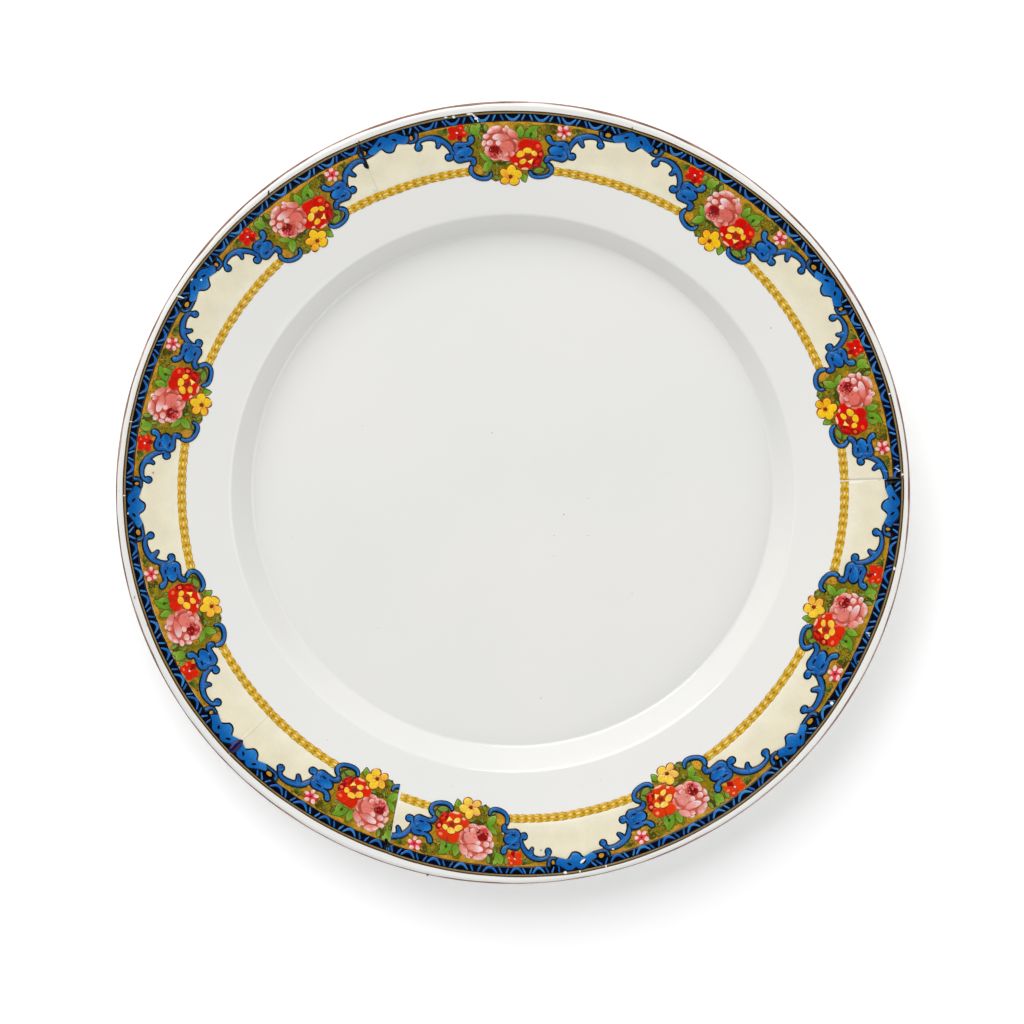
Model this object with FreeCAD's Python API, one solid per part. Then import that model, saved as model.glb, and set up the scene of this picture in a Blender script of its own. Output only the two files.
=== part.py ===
import FreeCAD, Part
import math
import os

# A rimmed china dinner plate, in millimetres, +Z up.
# The origin is on the table, at the middle of the foot ring, so the plate stands on Z = 0.
# Its half section is a polygon with rounded corners, turned about Z. The glaze is the same
# section grown by the glaze's thickness, and the printed border and the gilt line lie on it.

# Potted body
PLATE_DIAMETER = 250.0      # across the lip, over the glaze
LIP_HEIGHT = 23.0           # table to the lip's top corner, before it is rounded
RIM_WIDTH = 35.5            # lip in to the shoulder, where the rim turns down
WALL_RUN = 6.2              # shoulder in to the floor's corner
WELL_DEPTH = 8.0            # shoulder down to the floor
FLOOR_THICKNESS = 4.2
WALL_THICKNESS = 4.0        # of the wall, and of the rim at the shoulder
LIP_THICKNESS = 2.8
FOOT_INSET = 9.0            # floor's corner in to the foot ring's outside
FOOT_WIDTH = 4.6
FOOT_HEIGHT = 3.0

# Roundings of the body
FLOOR_ROUND = 2.0           # floor into wall
SHOULDER_ROUND = 2.0        # wall over into rim
LIP_ROUND = 1.25
UNDER_FLOOR_ROUND = 5.0
UNDER_SHOULDER_ROUND = 6.0
FOOT_ROUND = 1.1

# Glaze
GLAZE_THICKNESS = 0.25
BARE_FOOT_HEIGHT = 0.9      # the glaze is wiped off the foot ring up to here

# Printed border, laid in four lengths. Each reach is measured in from the border's outer edge.
BORDER_INSET = 2.6          # lip in to the border's outer edge
BORDER_THICKNESS = 0.12
PANEL_REACH = 19.9          # in to the rope that closes the cream panels
FRAME_REACH = 21.6          # in to the scrolls under each posy
POSY_REACH = 23.4           # in to the lowest flower of each posy
FRAME_HALF_WIDTH = 7.1      # of the scrolls under a posy, along the rim
POSY_HALF_WIDTH = 5.2       # of the lowest flower and its leaves, along the rim
JOIN_GAP = 0.3              # between one length of the print and the next

# Where each length starts and ends, in degrees from +X towards +Y, and its posies.
STRIPS = {
    "transfer_strip_1": (3.3, 113.3, (16.1, 52.9, 90.3)),
    "transfer_strip_2": (-110.3, 3.3, (-97.7, -61.2, -20.2)),
    "transfer_strip_3": (-138.2, -110.3, (-115.6,)),
    "transfer_strip_4": (-246.7, -138.2, (-233.3, -197.0, -160.2)),
}

# Gilt line round the lip
GILT_THICKNESS = 0.12
GILT_FROM = 6.0             # degrees above level, seen from the lip rounding's centre
GILT_TO = 62.0

PLATE_RADIUS = PLATE_DIAMETER / 2.0
BODY_RADIUS = PLATE_RADIUS - GLAZE_THICKNESS
FLOOR_TOP = FOOT_HEIGHT + FLOOR_THICKNESS
SHOULDER_RADIUS = PLATE_RADIUS - RIM_WIDTH
SHOULDER_HEIGHT = FLOOR_TOP + WELL_DEPTH
FLOOR_RADIUS = SHOULDER_RADIUS - WALL_RUN
FOOT_OUTER_RADIUS = FLOOR_RADIUS - FOOT_INSET
FOOT_INNER_RADIUS = FOOT_OUTER_RADIUS - FOOT_WIDTH
BORDER_OUTER_RADIUS = PLATE_RADIUS - BORDER_INSET

Z_AXIS = FreeCAD.Vector(0, 0, 1)
MIDDLE = FreeCAD.Vector(0, 0, 0)


def unit(vector):
    """The vector, made one long."""
    length = math.hypot(vector[0], vector[1])
    return (vector[0] / length, vector[1] / length)


def crossing(point_a, along_a, point_b, along_b):
    """Where two lines of the half section cross, each given by a point and a direction."""
    turn = along_a[0] * along_b[1] - along_a[1] * along_b[0]
    gap = (point_b[0] - point_a[0], point_b[1] - point_a[1])
    run = (gap[0] * along_b[1] - gap[1] * along_b[0]) / turn
    return (point_a[0] + along_a[0] * run, point_a[1] + along_a[1] * run)


def rim_slope():
    """The direction up the rim's top face, from the shoulder to the lip."""
    return unit((BODY_RADIUS - SHOULDER_RADIUS, LIP_HEIGHT - SHOULDER_HEIGHT))


def body_corners():
    """Corners of the clay's half section, anticlockwise from the axis, as (radius, height, rounding)."""
    foot_round = min(FOOT_ROUND, 0.45 * FOOT_HEIGHT, 0.45 * FOOT_WIDTH)
    floor_corner = (FLOOR_RADIUS, FLOOR_TOP)
    shoulder = (SHOULDER_RADIUS, SHOULDER_HEIGHT)
    wall = unit((WALL_RUN, WELL_DEPTH))
    rim = rim_slope()
    under_wall = (floor_corner[0] + wall[1] * WALL_THICKNESS, floor_corner[1] - wall[0] * WALL_THICKNESS)
    under_floor_corner = crossing(under_wall, wall, (0.0, FOOT_HEIGHT), (1.0, 0.0))
    under_root = (shoulder[0] + rim[1] * WALL_THICKNESS, shoulder[1] - rim[0] * WALL_THICKNESS)
    under_lip = (BODY_RADIUS, LIP_HEIGHT - LIP_THICKNESS / rim[0])
    under_rim = unit((under_lip[0] - under_root[0], under_lip[1] - under_root[1]))
    under_shoulder = crossing(under_wall, wall, under_root, under_rim)
    return [
        (0.0, FOOT_HEIGHT, 0.0),
        (FOOT_INNER_RADIUS, FOOT_HEIGHT, foot_round),
        (FOOT_INNER_RADIUS, 0.0, foot_round),
        (FOOT_OUTER_RADIUS, 0.0, foot_round),
        (FOOT_OUTER_RADIUS, FOOT_HEIGHT, foot_round),
        (*under_floor_corner, UNDER_FLOOR_ROUND),
        (*under_shoulder, UNDER_SHOULDER_ROUND),
        (*under_lip, LIP_ROUND),
        (BODY_RADIUS, LIP_HEIGHT, LIP_ROUND),
        (*shoulder, SHOULDER_ROUND),
        (*floor_corner, FLOOR_ROUND),
        (0.0, FLOOR_TOP, 0.0),
    ]


def grown(corners, skin):
    """The half section with each face moved out by skin, its roundings kept concentric, and the axis left."""
    faces = []
    for here, after in zip(corners, corners[1:] + corners[:1]):
        along = unit((after[0] - here[0], after[1] - here[1]))
        moved = 0.0 if here[0] == after[0] == 0.0 else skin
        faces.append(((here[0] + along[1] * moved, here[1] - along[0] * moved), along))
    result = []
    for index, corner in enumerate(corners):
        before, after = faces[index - 1], faces[index]
        point = crossing(before[0], before[1], after[0], after[1])
        bend = before[1][0] * after[1][1] - before[1][1] * after[1][0]
        rounding = corner[2] + math.copysign(skin, bend) if corner[2] else 0.0
        result.append((*point, rounding))
    return result


def section_face(corners):
    """A flat face in the XZ plane whose straight sides are joined by tangent arcs at the rounded corners."""
    ends = []
    for index, (radius, height, rounding) in enumerate(corners):
        before = corners[index - 1]
        after = corners[(index + 1) % len(corners)]
        come = unit((radius - before[0], height - before[1]))
        leave = unit((after[0] - radius, after[1] - height))
        half_turn = math.acos(max(-1.0, min(1.0, come[0] * leave[0] + come[1] * leave[1]))) / 2.0
        corner = FreeCAD.Vector(radius, 0, height)
        if not rounding:
            ends.append((corner, None, corner))
            continue
        reach = rounding * math.tan(half_turn)
        inward = unit((leave[0] - come[0], leave[1] - come[1]))
        depth = rounding / math.cos(half_turn) - rounding
        start = corner - FreeCAD.Vector(come[0], 0, come[1]) * reach
        middle = corner + FreeCAD.Vector(inward[0], 0, inward[1]) * depth
        stop = corner + FreeCAD.Vector(leave[0], 0, leave[1]) * reach
        ends.append((start, middle, stop))
    edges = []
    for (start, middle, stop), following in zip(ends, ends[1:] + ends[:1]):
        if middle is not None:
            edges.append(Part.Arc(start, middle, stop).toShape())
        edges.append(Part.LineSegment(stop, following[0]).toShape())
    return Part.Face(Part.Wire(edges))


def turned(corners):
    """The solid of revolution of a half section."""
    return section_face(corners).revolve(MIDDLE, Z_AXIS, 360.0)


def make_plate_body():
    """The fired clay: floor, wall, rim, rounded lip and foot ring in one piece."""
    return turned(body_corners())


def make_glaze():
    """The glass coat all round the clay, as two skins parted by the foot ring's wiped bearing edge."""
    coat = turned(grown(body_corners(), GLAZE_THICKNESS)).cut(make_plate_body())
    dipped = Part.makeCylinder(
        PLATE_DIAMETER, 2.0 * LIP_HEIGHT, FreeCAD.Vector(0, 0, BARE_FOOT_HEIGHT), Z_AXIS
    )
    skins = coat.common(dipped).Solids
    skins.sort(key=lambda skin: skin.BoundBox.XLength)
    return skins


def rim_point(radius, lift):
    """A point of the half section above the rim: lift is its height over the glaze, square to the rim."""
    rim = rim_slope()
    shoulder = (SHOULDER_RADIUS, SHOULDER_HEIGHT)
    foot = (shoulder[0] - rim[1] * GLAZE_THICKNESS, shoulder[1] + rim[0] * GLAZE_THICKNESS)
    run = (radius - foot[0]) / rim[0]
    return FreeCAD.Vector(
        foot[0] + rim[0] * run - rim[1] * lift, 0, foot[1] + rim[1] * run + rim[0] * lift
    )


def rim_sector(inner_radius, outer_radius, start, stop):
    """A thin sector lying on the glazed rim between two radii and two angles."""
    outline = [
        rim_point(inner_radius, 0.0),
        rim_point(outer_radius, 0.0),
        rim_point(outer_radius, BORDER_THICKNESS),
        rim_point(inner_radius, BORDER_THICKNESS),
    ]
    face = Part.Face(Part.makePolygon(outline + outline[:1]))
    face.rotate(MIDDLE, Z_AXIS, start)
    return face.revolve(MIDDLE, Z_AXIS, stop - start)


def make_transfer_strip(start, stop, posies):
    """One length of the printed border, with the scrolls and the lowest flower of each posy below it."""
    degrees_per_mm = math.degrees(1.0 / BORDER_OUTER_RADIUS)
    trim = JOIN_GAP / 2.0 * degrees_per_mm
    low, high = start + trim, stop - trim
    strip = rim_sector(BORDER_OUTER_RADIUS - PANEL_REACH, BORDER_OUTER_RADIUS, low, high)
    drops = []
    for posy in posies:
        for reach, half_width in ((FRAME_REACH, FRAME_HALF_WIDTH), (POSY_REACH, POSY_HALF_WIDTH)):
            half_angle = math.degrees(half_width / (BORDER_OUTER_RADIUS - reach))
            drop_low = max(low, posy - half_angle)
            drop_high = min(high, posy + half_angle)
            inner_radius = BORDER_OUTER_RADIUS - reach
            outer_radius = BORDER_OUTER_RADIUS - PANEL_REACH / 2.0
            drops.append(rim_sector(inner_radius, outer_radius, drop_low, drop_high))
    return strip.multiFuse(drops).removeSplitter()


def make_gilt_edge_line():
    """The thin gilt band round the lip's outer shoulder. Its section is two flats tangent to the glaze."""
    rim = rim_slope()
    centre_radius = BODY_RADIUS - LIP_ROUND
    centre_height = LIP_HEIGHT - LIP_ROUND * (rim[1] + 1.0) / rim[0]
    quarter = math.radians(GILT_TO - GILT_FROM) / 4.0
    inner = (LIP_ROUND + GLAZE_THICKNESS) / math.cos(quarter)
    outer = inner + GILT_THICKNESS
    middle = (GILT_FROM + GILT_TO) / 2.0
    corners = [(outer, GILT_FROM), (outer, middle), (outer, GILT_TO)]
    corners += [(inner, GILT_TO), (inner, middle), (inner, GILT_FROM)]
    outline = []
    for distance, degrees in corners:
        angle = math.radians(degrees)
        radius = centre_radius + distance * math.cos(angle)
        outline.append(FreeCAD.Vector(radius, 0, centre_height + distance * math.sin(angle)))
    return Part.Face(Part.makePolygon(outline + outline[:1])).revolve(MIDDLE, Z_AXIS, 360.0)


def main():
    """Builds every piece and writes each as a STEP file of its own."""
    base_glaze, outer_glaze = make_glaze()
    pieces = {
        "plate_body": make_plate_body(),
        "outer_glaze": outer_glaze,
        "base_glaze": base_glaze,
        "gilt_edge_line": make_gilt_edge_line(),
    }
    for name, (start, stop, posies) in STRIPS.items():
        pieces[name] = make_transfer_strip(start, stop, posies)
    os.makedirs("parts", exist_ok=True)
    for name, shape in pieces.items():
        box = shape.optimalBoundingBox()
        print(f"{name}: {len(shape.Solids)} solid, {shape.Volume:.1f} mm3, valid {shape.isValid()},"
              f" X {box.XMin:.2f}..{box.XMax:.2f} Z {box.ZMin:.2f}..{box.ZMax:.2f}")
        shape.exportStep(f"parts/{name}.step")


main()
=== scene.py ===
import bpy
import bmesh
import math
import numpy as np
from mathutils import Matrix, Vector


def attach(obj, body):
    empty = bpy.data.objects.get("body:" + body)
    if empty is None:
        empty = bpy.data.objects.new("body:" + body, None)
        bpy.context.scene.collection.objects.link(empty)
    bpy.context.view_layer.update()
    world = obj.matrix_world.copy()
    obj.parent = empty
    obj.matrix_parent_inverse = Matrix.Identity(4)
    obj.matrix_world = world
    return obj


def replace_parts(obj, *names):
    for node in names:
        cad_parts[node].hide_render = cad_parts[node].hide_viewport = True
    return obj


# A rimmed china dinner plate with a printed floral border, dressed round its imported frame.
# Layout is in millimetres and becomes metres as each mesh is made. The printed border is drawn
# flat, in two measures: u runs clockwise along the border and v runs inwards from its edge line.
# Lift is the height over the glaze.

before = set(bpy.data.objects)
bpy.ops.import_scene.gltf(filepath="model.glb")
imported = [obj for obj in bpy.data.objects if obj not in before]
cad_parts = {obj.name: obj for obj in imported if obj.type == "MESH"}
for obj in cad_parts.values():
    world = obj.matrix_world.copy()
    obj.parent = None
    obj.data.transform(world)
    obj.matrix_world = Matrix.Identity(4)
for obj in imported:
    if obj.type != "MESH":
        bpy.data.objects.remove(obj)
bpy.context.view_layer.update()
rng = np.random.default_rng(1927)

MM = 0.001

# Potted shape, as the frame has it
PLATE_RADIUS = 125.0
LIP_HEIGHT = 23.0
RIM_WIDTH = 35.5
WALL_RUN = 6.2
WELL_DEPTH = 8.0
FLOOR_THICKNESS = 4.2
WALL_THICKNESS = 4.0
LIP_THICKNESS = 2.8
FOOT_INSET = 9.0
FOOT_WIDTH = 4.6
FOOT_HEIGHT = 3.0
FLOOR_ROUND = 2.0
SHOULDER_ROUND = 2.0
LIP_ROUND = 1.25
UNDER_FLOOR_ROUND = 5.0
UNDER_SHOULDER_ROUND = 6.0
FOOT_ROUND = 1.1
GLAZE_THICKNESS = 0.25
BARE_FOOT_HEIGHT = 0.9
GLAZE_TURNS = 320           # steps round the plate
GLAZE_STEP = 2.5            # longest run between two rings of the glazed surface
CLAY_STEP = 6.0             # and of the clay under it
CLAY_ARC_STEP = 10.0        # degrees between rings of the clay's rounded corners
WARP = 0.10                 # how far the fired rim strays up and down
WARP_START = 70.0           # radius from which it grows
SLOPE_REACH = 0.2           # the rim's slope is measured this far in and out of a point

# Printed border
BORDER_MIDDLE = 112.5       # radius along which the border is drawn at its true length
REPEAT = 73.04              # from one posy to the next, along the border
BAND_TOP = 0.42             # navy band, from the edge lines in
BAND_FOOT = 3.05
SWELL = 0.07                # how much bolder the scrolls print than they are drawn
SUNK = 0.03                 # every enamel shape is rooted this far below the glaze's surface
OVERLAP = 0.06              # degrees by which each band runs on under the next length
LAYER = 0.018               # each layer of enamel stands this much higher than the last
DEGREES_PER_MM = math.degrees(1.0 / BORDER_MIDDLE)
TRUE_POSY = 12.0            # half the width that a posy keeps at its true length
TRUE_LEAF = 7.0             # and an acanthus leaf
RUN_ON = 60.0               # how far past its last figure a length of print is measured
CUT_OUTER_RADIUS = 124.0    # radii at which the two angles of a cut are taken
CUT_INNER_RADIUS = 99.0
POSY_STRAY = 0.07           # how far each part of a posy strays from its place
PANEL_STRAY = 0.05          # and each part of a panel
TONE_SPREAD = 0.06          # share by which an ink's lightness varies each time it is laid
PANEL_FOOT = 17.8           # cream panel's lower edge
ROPE_TOP = 16.55            # gold rope under it
ROPE_FOOT = 19.25
ROPE_REACH = 22.6           # half its length
ROPE_LINK = 2.98            # from one bright link to the next

# The four lengths of print: the angles of their posies, and of the acanthus leaf before each posy and
# after the last. Cuts are the angles at which a length starts and stops, at its outer and inner edge.
# Gaps are how far in from the gilt its edge line was laid, at even steps from its start to its stop.
STRIPS = [
    {"node": "transfer_strip_1", "posies": (90.3, 52.9, 16.15), "leaves": (109.05, 71.6, 34.2, -2.35),
     "start": (113.35, 113.2), "stop": (3.3, 3.25), "gaps": (2.85, 2.9, 2.1, 2.05),
     "faded": (0.1, 0.0, 0.0)},
    {"node": "transfer_strip_2", "posies": (-20.2, -61.25, -97.7), "leaves": (-0.85, -41.1, -80.2, -116.6),
     "start": (3.3, 2.95), "stop": (-109.25, -110.75), "gaps": (1.95, 2.75, 2.4, 2.15, 3.35),
     "faded": (0.3, 0.7, 0.6)},
    {"node": "transfer_strip_3", "posies": (-115.6,), "leaves": (-96.6, -135.35),
     "start": (-109.15, -111.3), "stop": (-138.2, -138.2), "gaps": (3.45, 3.3, 2.9), "faded": (0.25,)},
    {"node": "transfer_strip_4", "posies": (-160.15, -197.05, -233.3),
     "leaves": (-140.95, -179.0, -215.35, -251.55),
     "start": (-138.0, -138.0), "stop": (-246.75, -246.9), "gaps": (2.85, 2.45, 2.0, 2.75),
     "faded": (0.2, 0.1, 0.05)},
]
GILT_INSET = 0.3            # the gilt line's middle, in from the plate's edge
GILT_LOW_EDGE = 8.0         # degrees up the lip's rounding between which the gilt lies
GILT_HIGH_EDGE = 50.0

# Where the print is worn, nicked or smudged: strip, degrees, v, half length, half width, turn, ink
MARKS = [
    (1, 112.9, -0.45, 0.4, 0.16, 80.0, "edge_dark"), (1, 99.8, -0.05, 0.5, 0.28, 0.0, "bare"),
    (1, 98.65, 0.25, 0.5, 0.42, 60.0, "bare"), (1, 96.3, -0.05, 0.95, 0.32, 4.0, "bare"),
    (1, 95.7, 0.6, 0.75, 0.24, 48.0, "bare"), (1, 95.4, 1.55, 0.62, 0.42, 20.0, "bare"),
    (1, 95.2, 2.4, 0.42, 0.2, 60.0, "bare"), (1, 72.5, -0.55, 0.45, 0.16, 70.0, "umber"),
    (1, 60.9, -0.3, 0.22, 0.2, 0.0, "gold_ochre"), (1, 31.4, -0.35, 0.3, 0.14, 80.0, "gold_ochre"),
    (1, 16.1, 0.0, 0.26, 0.42, 0.0, "bare"), (1, 4.8, 1.5, 0.75, 0.14, 115.0, "bare"),
    (1, 4.5, 0.9, 0.5, 0.13, 60.0, "bare"), (1, 3.95, 0.0, 0.35, 0.42, 0.0, "bare"),
    (1, 4.6, 5.2, 0.9, 0.16, 110.0, "pale_blue"), (2, -10.2, 0.0, 0.5, 0.4, 0.0, "bare"),
    (2, -20.7, 1.7, 0.8, 0.15, 75.0, "bare"), (2, -20.95, 1.2, 0.45, 0.13, 130.0, "bare"),
    (2, -25.3, 0.8, 0.25, 0.2, 0.0, "pale_blue"), (2, -32.8, 1.4, 0.62, 0.42, 85.0, "bare"),
    (2, -74.2, 4.6, 0.4, 0.25, 20.0, "bare"), (2, -75.9, 0.0, 0.25, 0.45, 0.0, "bare"),
    (2, -79.2, 3.1, 1.15, 0.4, -32.0, "bare"), (2, -79.9, 0.0, 0.22, 0.45, 0.0, "bare"),
    (2, -82.1, 0.35, 0.55, 0.5, 0.0, "bare"), (2, -85.5, 8.0, 0.4, 0.14, -30.0, "grey"),
    (2, -91.7, 13.2, 0.3, 0.2, 0.0, "bare"), (2, -102.7, -3.15, 0.4, 0.2, 0.0, "edge_dark"),
    (3, -137.8, -0.1, 0.35, 0.3, 0.0, "gold_ochre"), (4, -161.0, -0.25, 0.45, 0.2, 10.0, "umber"),
    (4, -165.5, -1.4, 0.5, 0.12, 40.0, "grey"), (4, -178.1, 1.0, 0.3, 0.2, 0.0, "bare"),
    (4, -180.8, 0.0, 0.22, 0.4, 0.0, "bare"), (4, -184.4, 8.8, 0.35, 0.16, 15.0, "grey"),
    (4, -191.9, 0.1, 0.14, 0.55, 0.0, "bare"), (4, -197.7, -0.3, 0.3, 0.15, 0.0, "gold_ochre"),
    (4, -211.9, 0.7, 1.35, 0.2, 80.0, "bare"), (4, -215.0, 0.7, 0.4, 0.22, 20.0, "bare"),
    (4, -215.7, 3.1, 0.3, 0.3, 0.0, "bare"), (4, -232.0, -0.75, 0.7, 0.2, -42.0, "edge_dark"),
    (4, -246.3, 15.3, 0.6, 0.4, 80.0, "bare"),
]

# Ink over the joins between two lengths of print: strip, then places (degrees, v, half width) down the
# join. Dark ink is their overlap, and cream closes the panel.
JOINS = [
    (1, [(113.25, 8.2, 0.3), (113.25, 12.0, 0.5), (113.25, 16.7, 0.35)], "cream"),
    (1, [(113.1, 0.5, 0.3), (113.05, 2.5, 0.5), (113.2, 4.5, 0.4), (113.25, 6.2, 0.42), (113.3, 7.9, 0.5)],
     "black_navy"),
    (2, [(3.2, 0.9, 0.55), (3.2, 2.2, 0.9), (3.2, 3.8, 0.85), (3.1, 4.9, 0.4)], "black_navy"),
    (3, [(-110.0, 0.9, 0.3), (-109.9, 2.4, 0.55), (-110.2, 3.6, 0.5)], "black_navy"),
    (4, [(-138.1, 5.6, 0.45), (-138.1, 10.0, 0.5), (-138.1, 16.7, 0.35)], "cream"),
    (4, [(-138.0, 1.5, 1.2), (-138.0, 2.4, 1.4), (-138.05, 3.4, 1.4), (-138.05, 4.4, 1.2),
         (-138.0, 5.1, 0.7)], "violet"),
]


# ---------------------------------------------------------------- colours and materials

def linear(code):
    """The scene-linear colour of a six-digit ink code."""
    value = np.array([int(code[i:i + 2], 16) for i in (0, 2, 4)]) / 255.0
    return np.where(value <= 0.04045, value / 12.92, ((value + 0.055) / 1.055) ** 2.4)


INK = {name: linear(code) for name, code in {
    "navy": "050A1C", "black_navy": "020308", "blue": "0E5CA8", "light_blue": "2A7CC6",
    "pale_blue": "4A98D2", "band_blue": "1464B8", "teal": "0A78A4", "violet": "160C48",
    "ochre": "A07A18", "gold_ochre": "BE8A2C", "olive": "837414", "dark_olive": "4E4A12", "umber": "523C0E",
    "leaf": "6A9824", "leaf_pale": "8EAC3E", "leaf_dark": "2E4C12", "moss": "7E8C38",
    "rose_deep": "C0503E", "rose_line": "A83828", "rose_light": "E8A398", "rose": "DC6E60",
    "rose_pale": "EEB6AE", "rose_white": "EFD9DA", "rose_red": "DC4048",
    "crimson": "8C1013", "crimson_dark": "5A070C", "red": "D21108", "red_dark": "A00C06",
    "orange": "EE5A12", "peach": "F6B896",
    "yellow": "F4C41C", "yellow_pale": "F8E070", "amber": "EFA614", "faded_gold": "F0CE90", "rust": "8E2E08",
    "cream": "DFD8BE", "rope": "D0A228", "rope_dark": "B07C12", "rope_pale": "EBD27A",
    "edge_dark": "1A1006", "edge_brown": "52360F", "edge_gold": "8C7446", "bare": "E2E2DE", "grey": "8A867C",
}.items()}


def new_material(name, roughness):
    """A material with one Principled shader, and that shader."""
    material = bpy.data.materials.new(name)
    material.use_nodes = True
    shader = material.node_tree.nodes["Principled BSDF"]
    shader.inputs["Roughness"].default_value = roughness
    return material, shader


def add_node(material, kind, **values):
    """A node of that kind with its properties and input values set."""
    node = material.node_tree.nodes.new(kind)
    for key, value in values.items():
        if key in node.inputs:
            node.inputs[key].default_value = value
        else:
            setattr(node, key, value)
    return node


def noise(material, scale, detail=3.0):
    """Noise over the piece's own coordinates. Its scale is in waves per metre."""
    place = add_node(material, "ShaderNodeTexCoord")
    node = add_node(material, "ShaderNodeTexNoise", Scale=scale, Detail=detail)
    material.node_tree.links.new(place.outputs["Object"], node.inputs["Vector"])
    return node


def ramp(material, source, stops):
    """A colour ramp on a value. Stops are (place, colour)."""
    node = add_node(material, "ShaderNodeValToRGB")
    bar = node.color_ramp
    while len(bar.elements) < len(stops):
        bar.elements.new(0.5)
    for element, (place, colour) in zip(bar.elements, stops):
        element.position = place
        element.color = (*colour, 1.0)
    material.node_tree.links.new(source, node.inputs["Fac"])
    return node


def mixed(material, kind, factor, first, second):
    """A colour mix of that blend type. Its factor and its two colours are sockets or constants."""
    node = add_node(material, "ShaderNodeMix", data_type="RGBA", blend_type=kind)
    for index, value in ((0, factor), (6, first), (7, second)):
        if isinstance(value, bpy.types.NodeSocket):
            material.node_tree.links.new(value, node.inputs[index])
        elif index == 0:
            node.inputs[0].default_value = value
        else:
            node.inputs[index].default_value = (*value, 1.0)
    return node.outputs[2]


def bump(material, shader, source, distance):
    """Raises the surface with a value, by distance in metres at its brightest."""
    node = add_node(material, "ShaderNodeBump", Strength=1.0, Distance=distance)
    material.node_tree.links.new(source, node.inputs["Height"])
    material.node_tree.links.new(node.outputs["Normal"], shader.inputs["Normal"])


def make_glaze_material():
    """White glaze: faint warm and cool clouds, rare iron specks, a rippled gloss."""
    material, shader = new_material("white_glaze", 0.08)
    link = material.node_tree.links.new
    clouds = noise(material, 14.0, 4.0)
    tint = ramp(material, clouds.outputs["Fac"], [(0.3, linear("DCDCDA")), (0.7, linear("E0DFDB"))])
    grain = noise(material, 900.0, 1.0)
    specks = ramp(material, grain.outputs["Fac"], [(0.805, (0, 0, 0)), (0.83, (1, 1, 1))])
    rare = noise(material, 60.0, 1.0)
    patches = ramp(material, rare.outputs["Fac"], [(0.55, (0, 0, 0)), (0.62, (1, 1, 1))])
    dots = mixed(material, "MULTIPLY", 1.0, specks.outputs["Color"], patches.outputs["Color"])
    link(mixed(material, "MIX", dots, tint.outputs["Color"], linear("9A8F80")), shader.inputs["Base Color"])
    haze = noise(material, 40.0, 3.0)
    gloss = ramp(material, haze.outputs["Fac"], [(0.3, (0.05,) * 3), (0.75, (0.13,) * 3)])
    link(gloss.outputs["Color"], shader.inputs["Roughness"])
    ripple = noise(material, 55.0, 2.0)
    bump(material, shader, ripple.outputs["Fac"], 0.00012)
    return material


def make_enamel_material(name, stipple, roughness):
    """Fired enamel: the piece's own ink attribute, broken up by a printed grain of that strength."""
    material, shader = new_material(name, roughness)
    shader.inputs["Specular IOR Level"].default_value = 0.22
    link = material.node_tree.links.new
    ink = add_node(material, "ShaderNodeAttribute", attribute_name="ink")
    grain = noise(material, 1500.0, 2.0)
    tone = ramp(material, grain.outputs["Fac"], [(0.3, (1.0 - stipple,) * 3), (0.7, (1.0,) * 3)])
    colour = mixed(material, "MULTIPLY", 1.0, ink.outputs["Color"], tone.outputs["Color"])
    cloud = noise(material, 160.0, 3.0)
    wash = ramp(material, cloud.outputs["Fac"], [(0.35, (0.93,) * 3), (0.65, (1.0,) * 3)])
    link(mixed(material, "MULTIPLY", 1.0, colour, wash.outputs["Color"]), shader.inputs["Base Color"])
    bump(material, shader, grain.outputs["Fac"], 0.000012)
    return material


def make_ground_material():
    """The ochre ground: its ink attribute clouded towards olive, with a dark printed grain."""
    material, shader = new_material("fired_ochre", 0.18)
    shader.inputs["Specular IOR Level"].default_value = 0.22
    link = material.node_tree.links.new
    ink = add_node(material, "ShaderNodeAttribute", attribute_name="ink")
    cloud = noise(material, 420.0, 4.0)
    wash = ramp(material, cloud.outputs["Fac"], [(0.38, (0.66, 0.70, 0.62)), (0.52, (0.96, 0.95, 0.88)),
                                                 (0.66, (1.0, 1.0, 1.0))])
    colour = mixed(material, "MULTIPLY", 1.0, ink.outputs["Color"], wash.outputs["Color"])
    grain = noise(material, 1900.0, 2.0)
    fleck = ramp(material, grain.outputs["Fac"], [(0.34, (0.55, 0.56, 0.5)), (0.46, (1.0, 1.0, 1.0))])
    link(mixed(material, "MULTIPLY", 1.0, colour, fleck.outputs["Color"]), shader.inputs["Base Color"])
    return material


def make_gilt_material():
    """Gilt worn to a pinkish brown, thin in places down to the white glaze."""
    material, shader = new_material("worn_gilt", 0.5)
    link = material.node_tree.links.new
    wear = noise(material, 75.0, 5.0)
    fade = ramp(material, wear.outputs["Fac"], [(0.42, linear("7A5040")), (0.58, linear("966F5E")),
                                                (0.74, linear("B0968A"))])
    fine = noise(material, 700.0, 2.0)
    mottle = ramp(material, fine.outputs["Fac"], [(0.3, (0.75,) * 3), (0.6, (1.0,) * 3)])
    link(mixed(material, "MULTIPLY", 1.0, fade.outputs["Color"], mottle.outputs["Color"]),
         shader.inputs["Base Color"])
    metal = ramp(material, wear.outputs["Fac"], [(0.42, (0.2,) * 3), (0.58, (0.0,) * 3)])
    link(metal.outputs["Color"], shader.inputs["Metallic"])
    bump(material, shader, fine.outputs["Fac"], 0.00002)
    return material


def make_clay_material():
    """Bare fired clay of the wiped foot: warm white, matt, greyed by shelves."""
    material, shader = new_material("bare_clay", 0.75)
    link = material.node_tree.links.new
    rub = noise(material, 120.0, 5.0)
    tone = ramp(material, rub.outputs["Fac"], [(0.35, linear("B4A894")), (0.6, linear("D8CFBE"))])
    link(tone.outputs["Color"], shader.inputs["Base Color"])
    grit = noise(material, 1800.0, 2.0)
    bump(material, shader, grit.outputs["Fac"], 0.00006)
    return material


# ---------------------------------------------------------------- the potted surface

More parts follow.
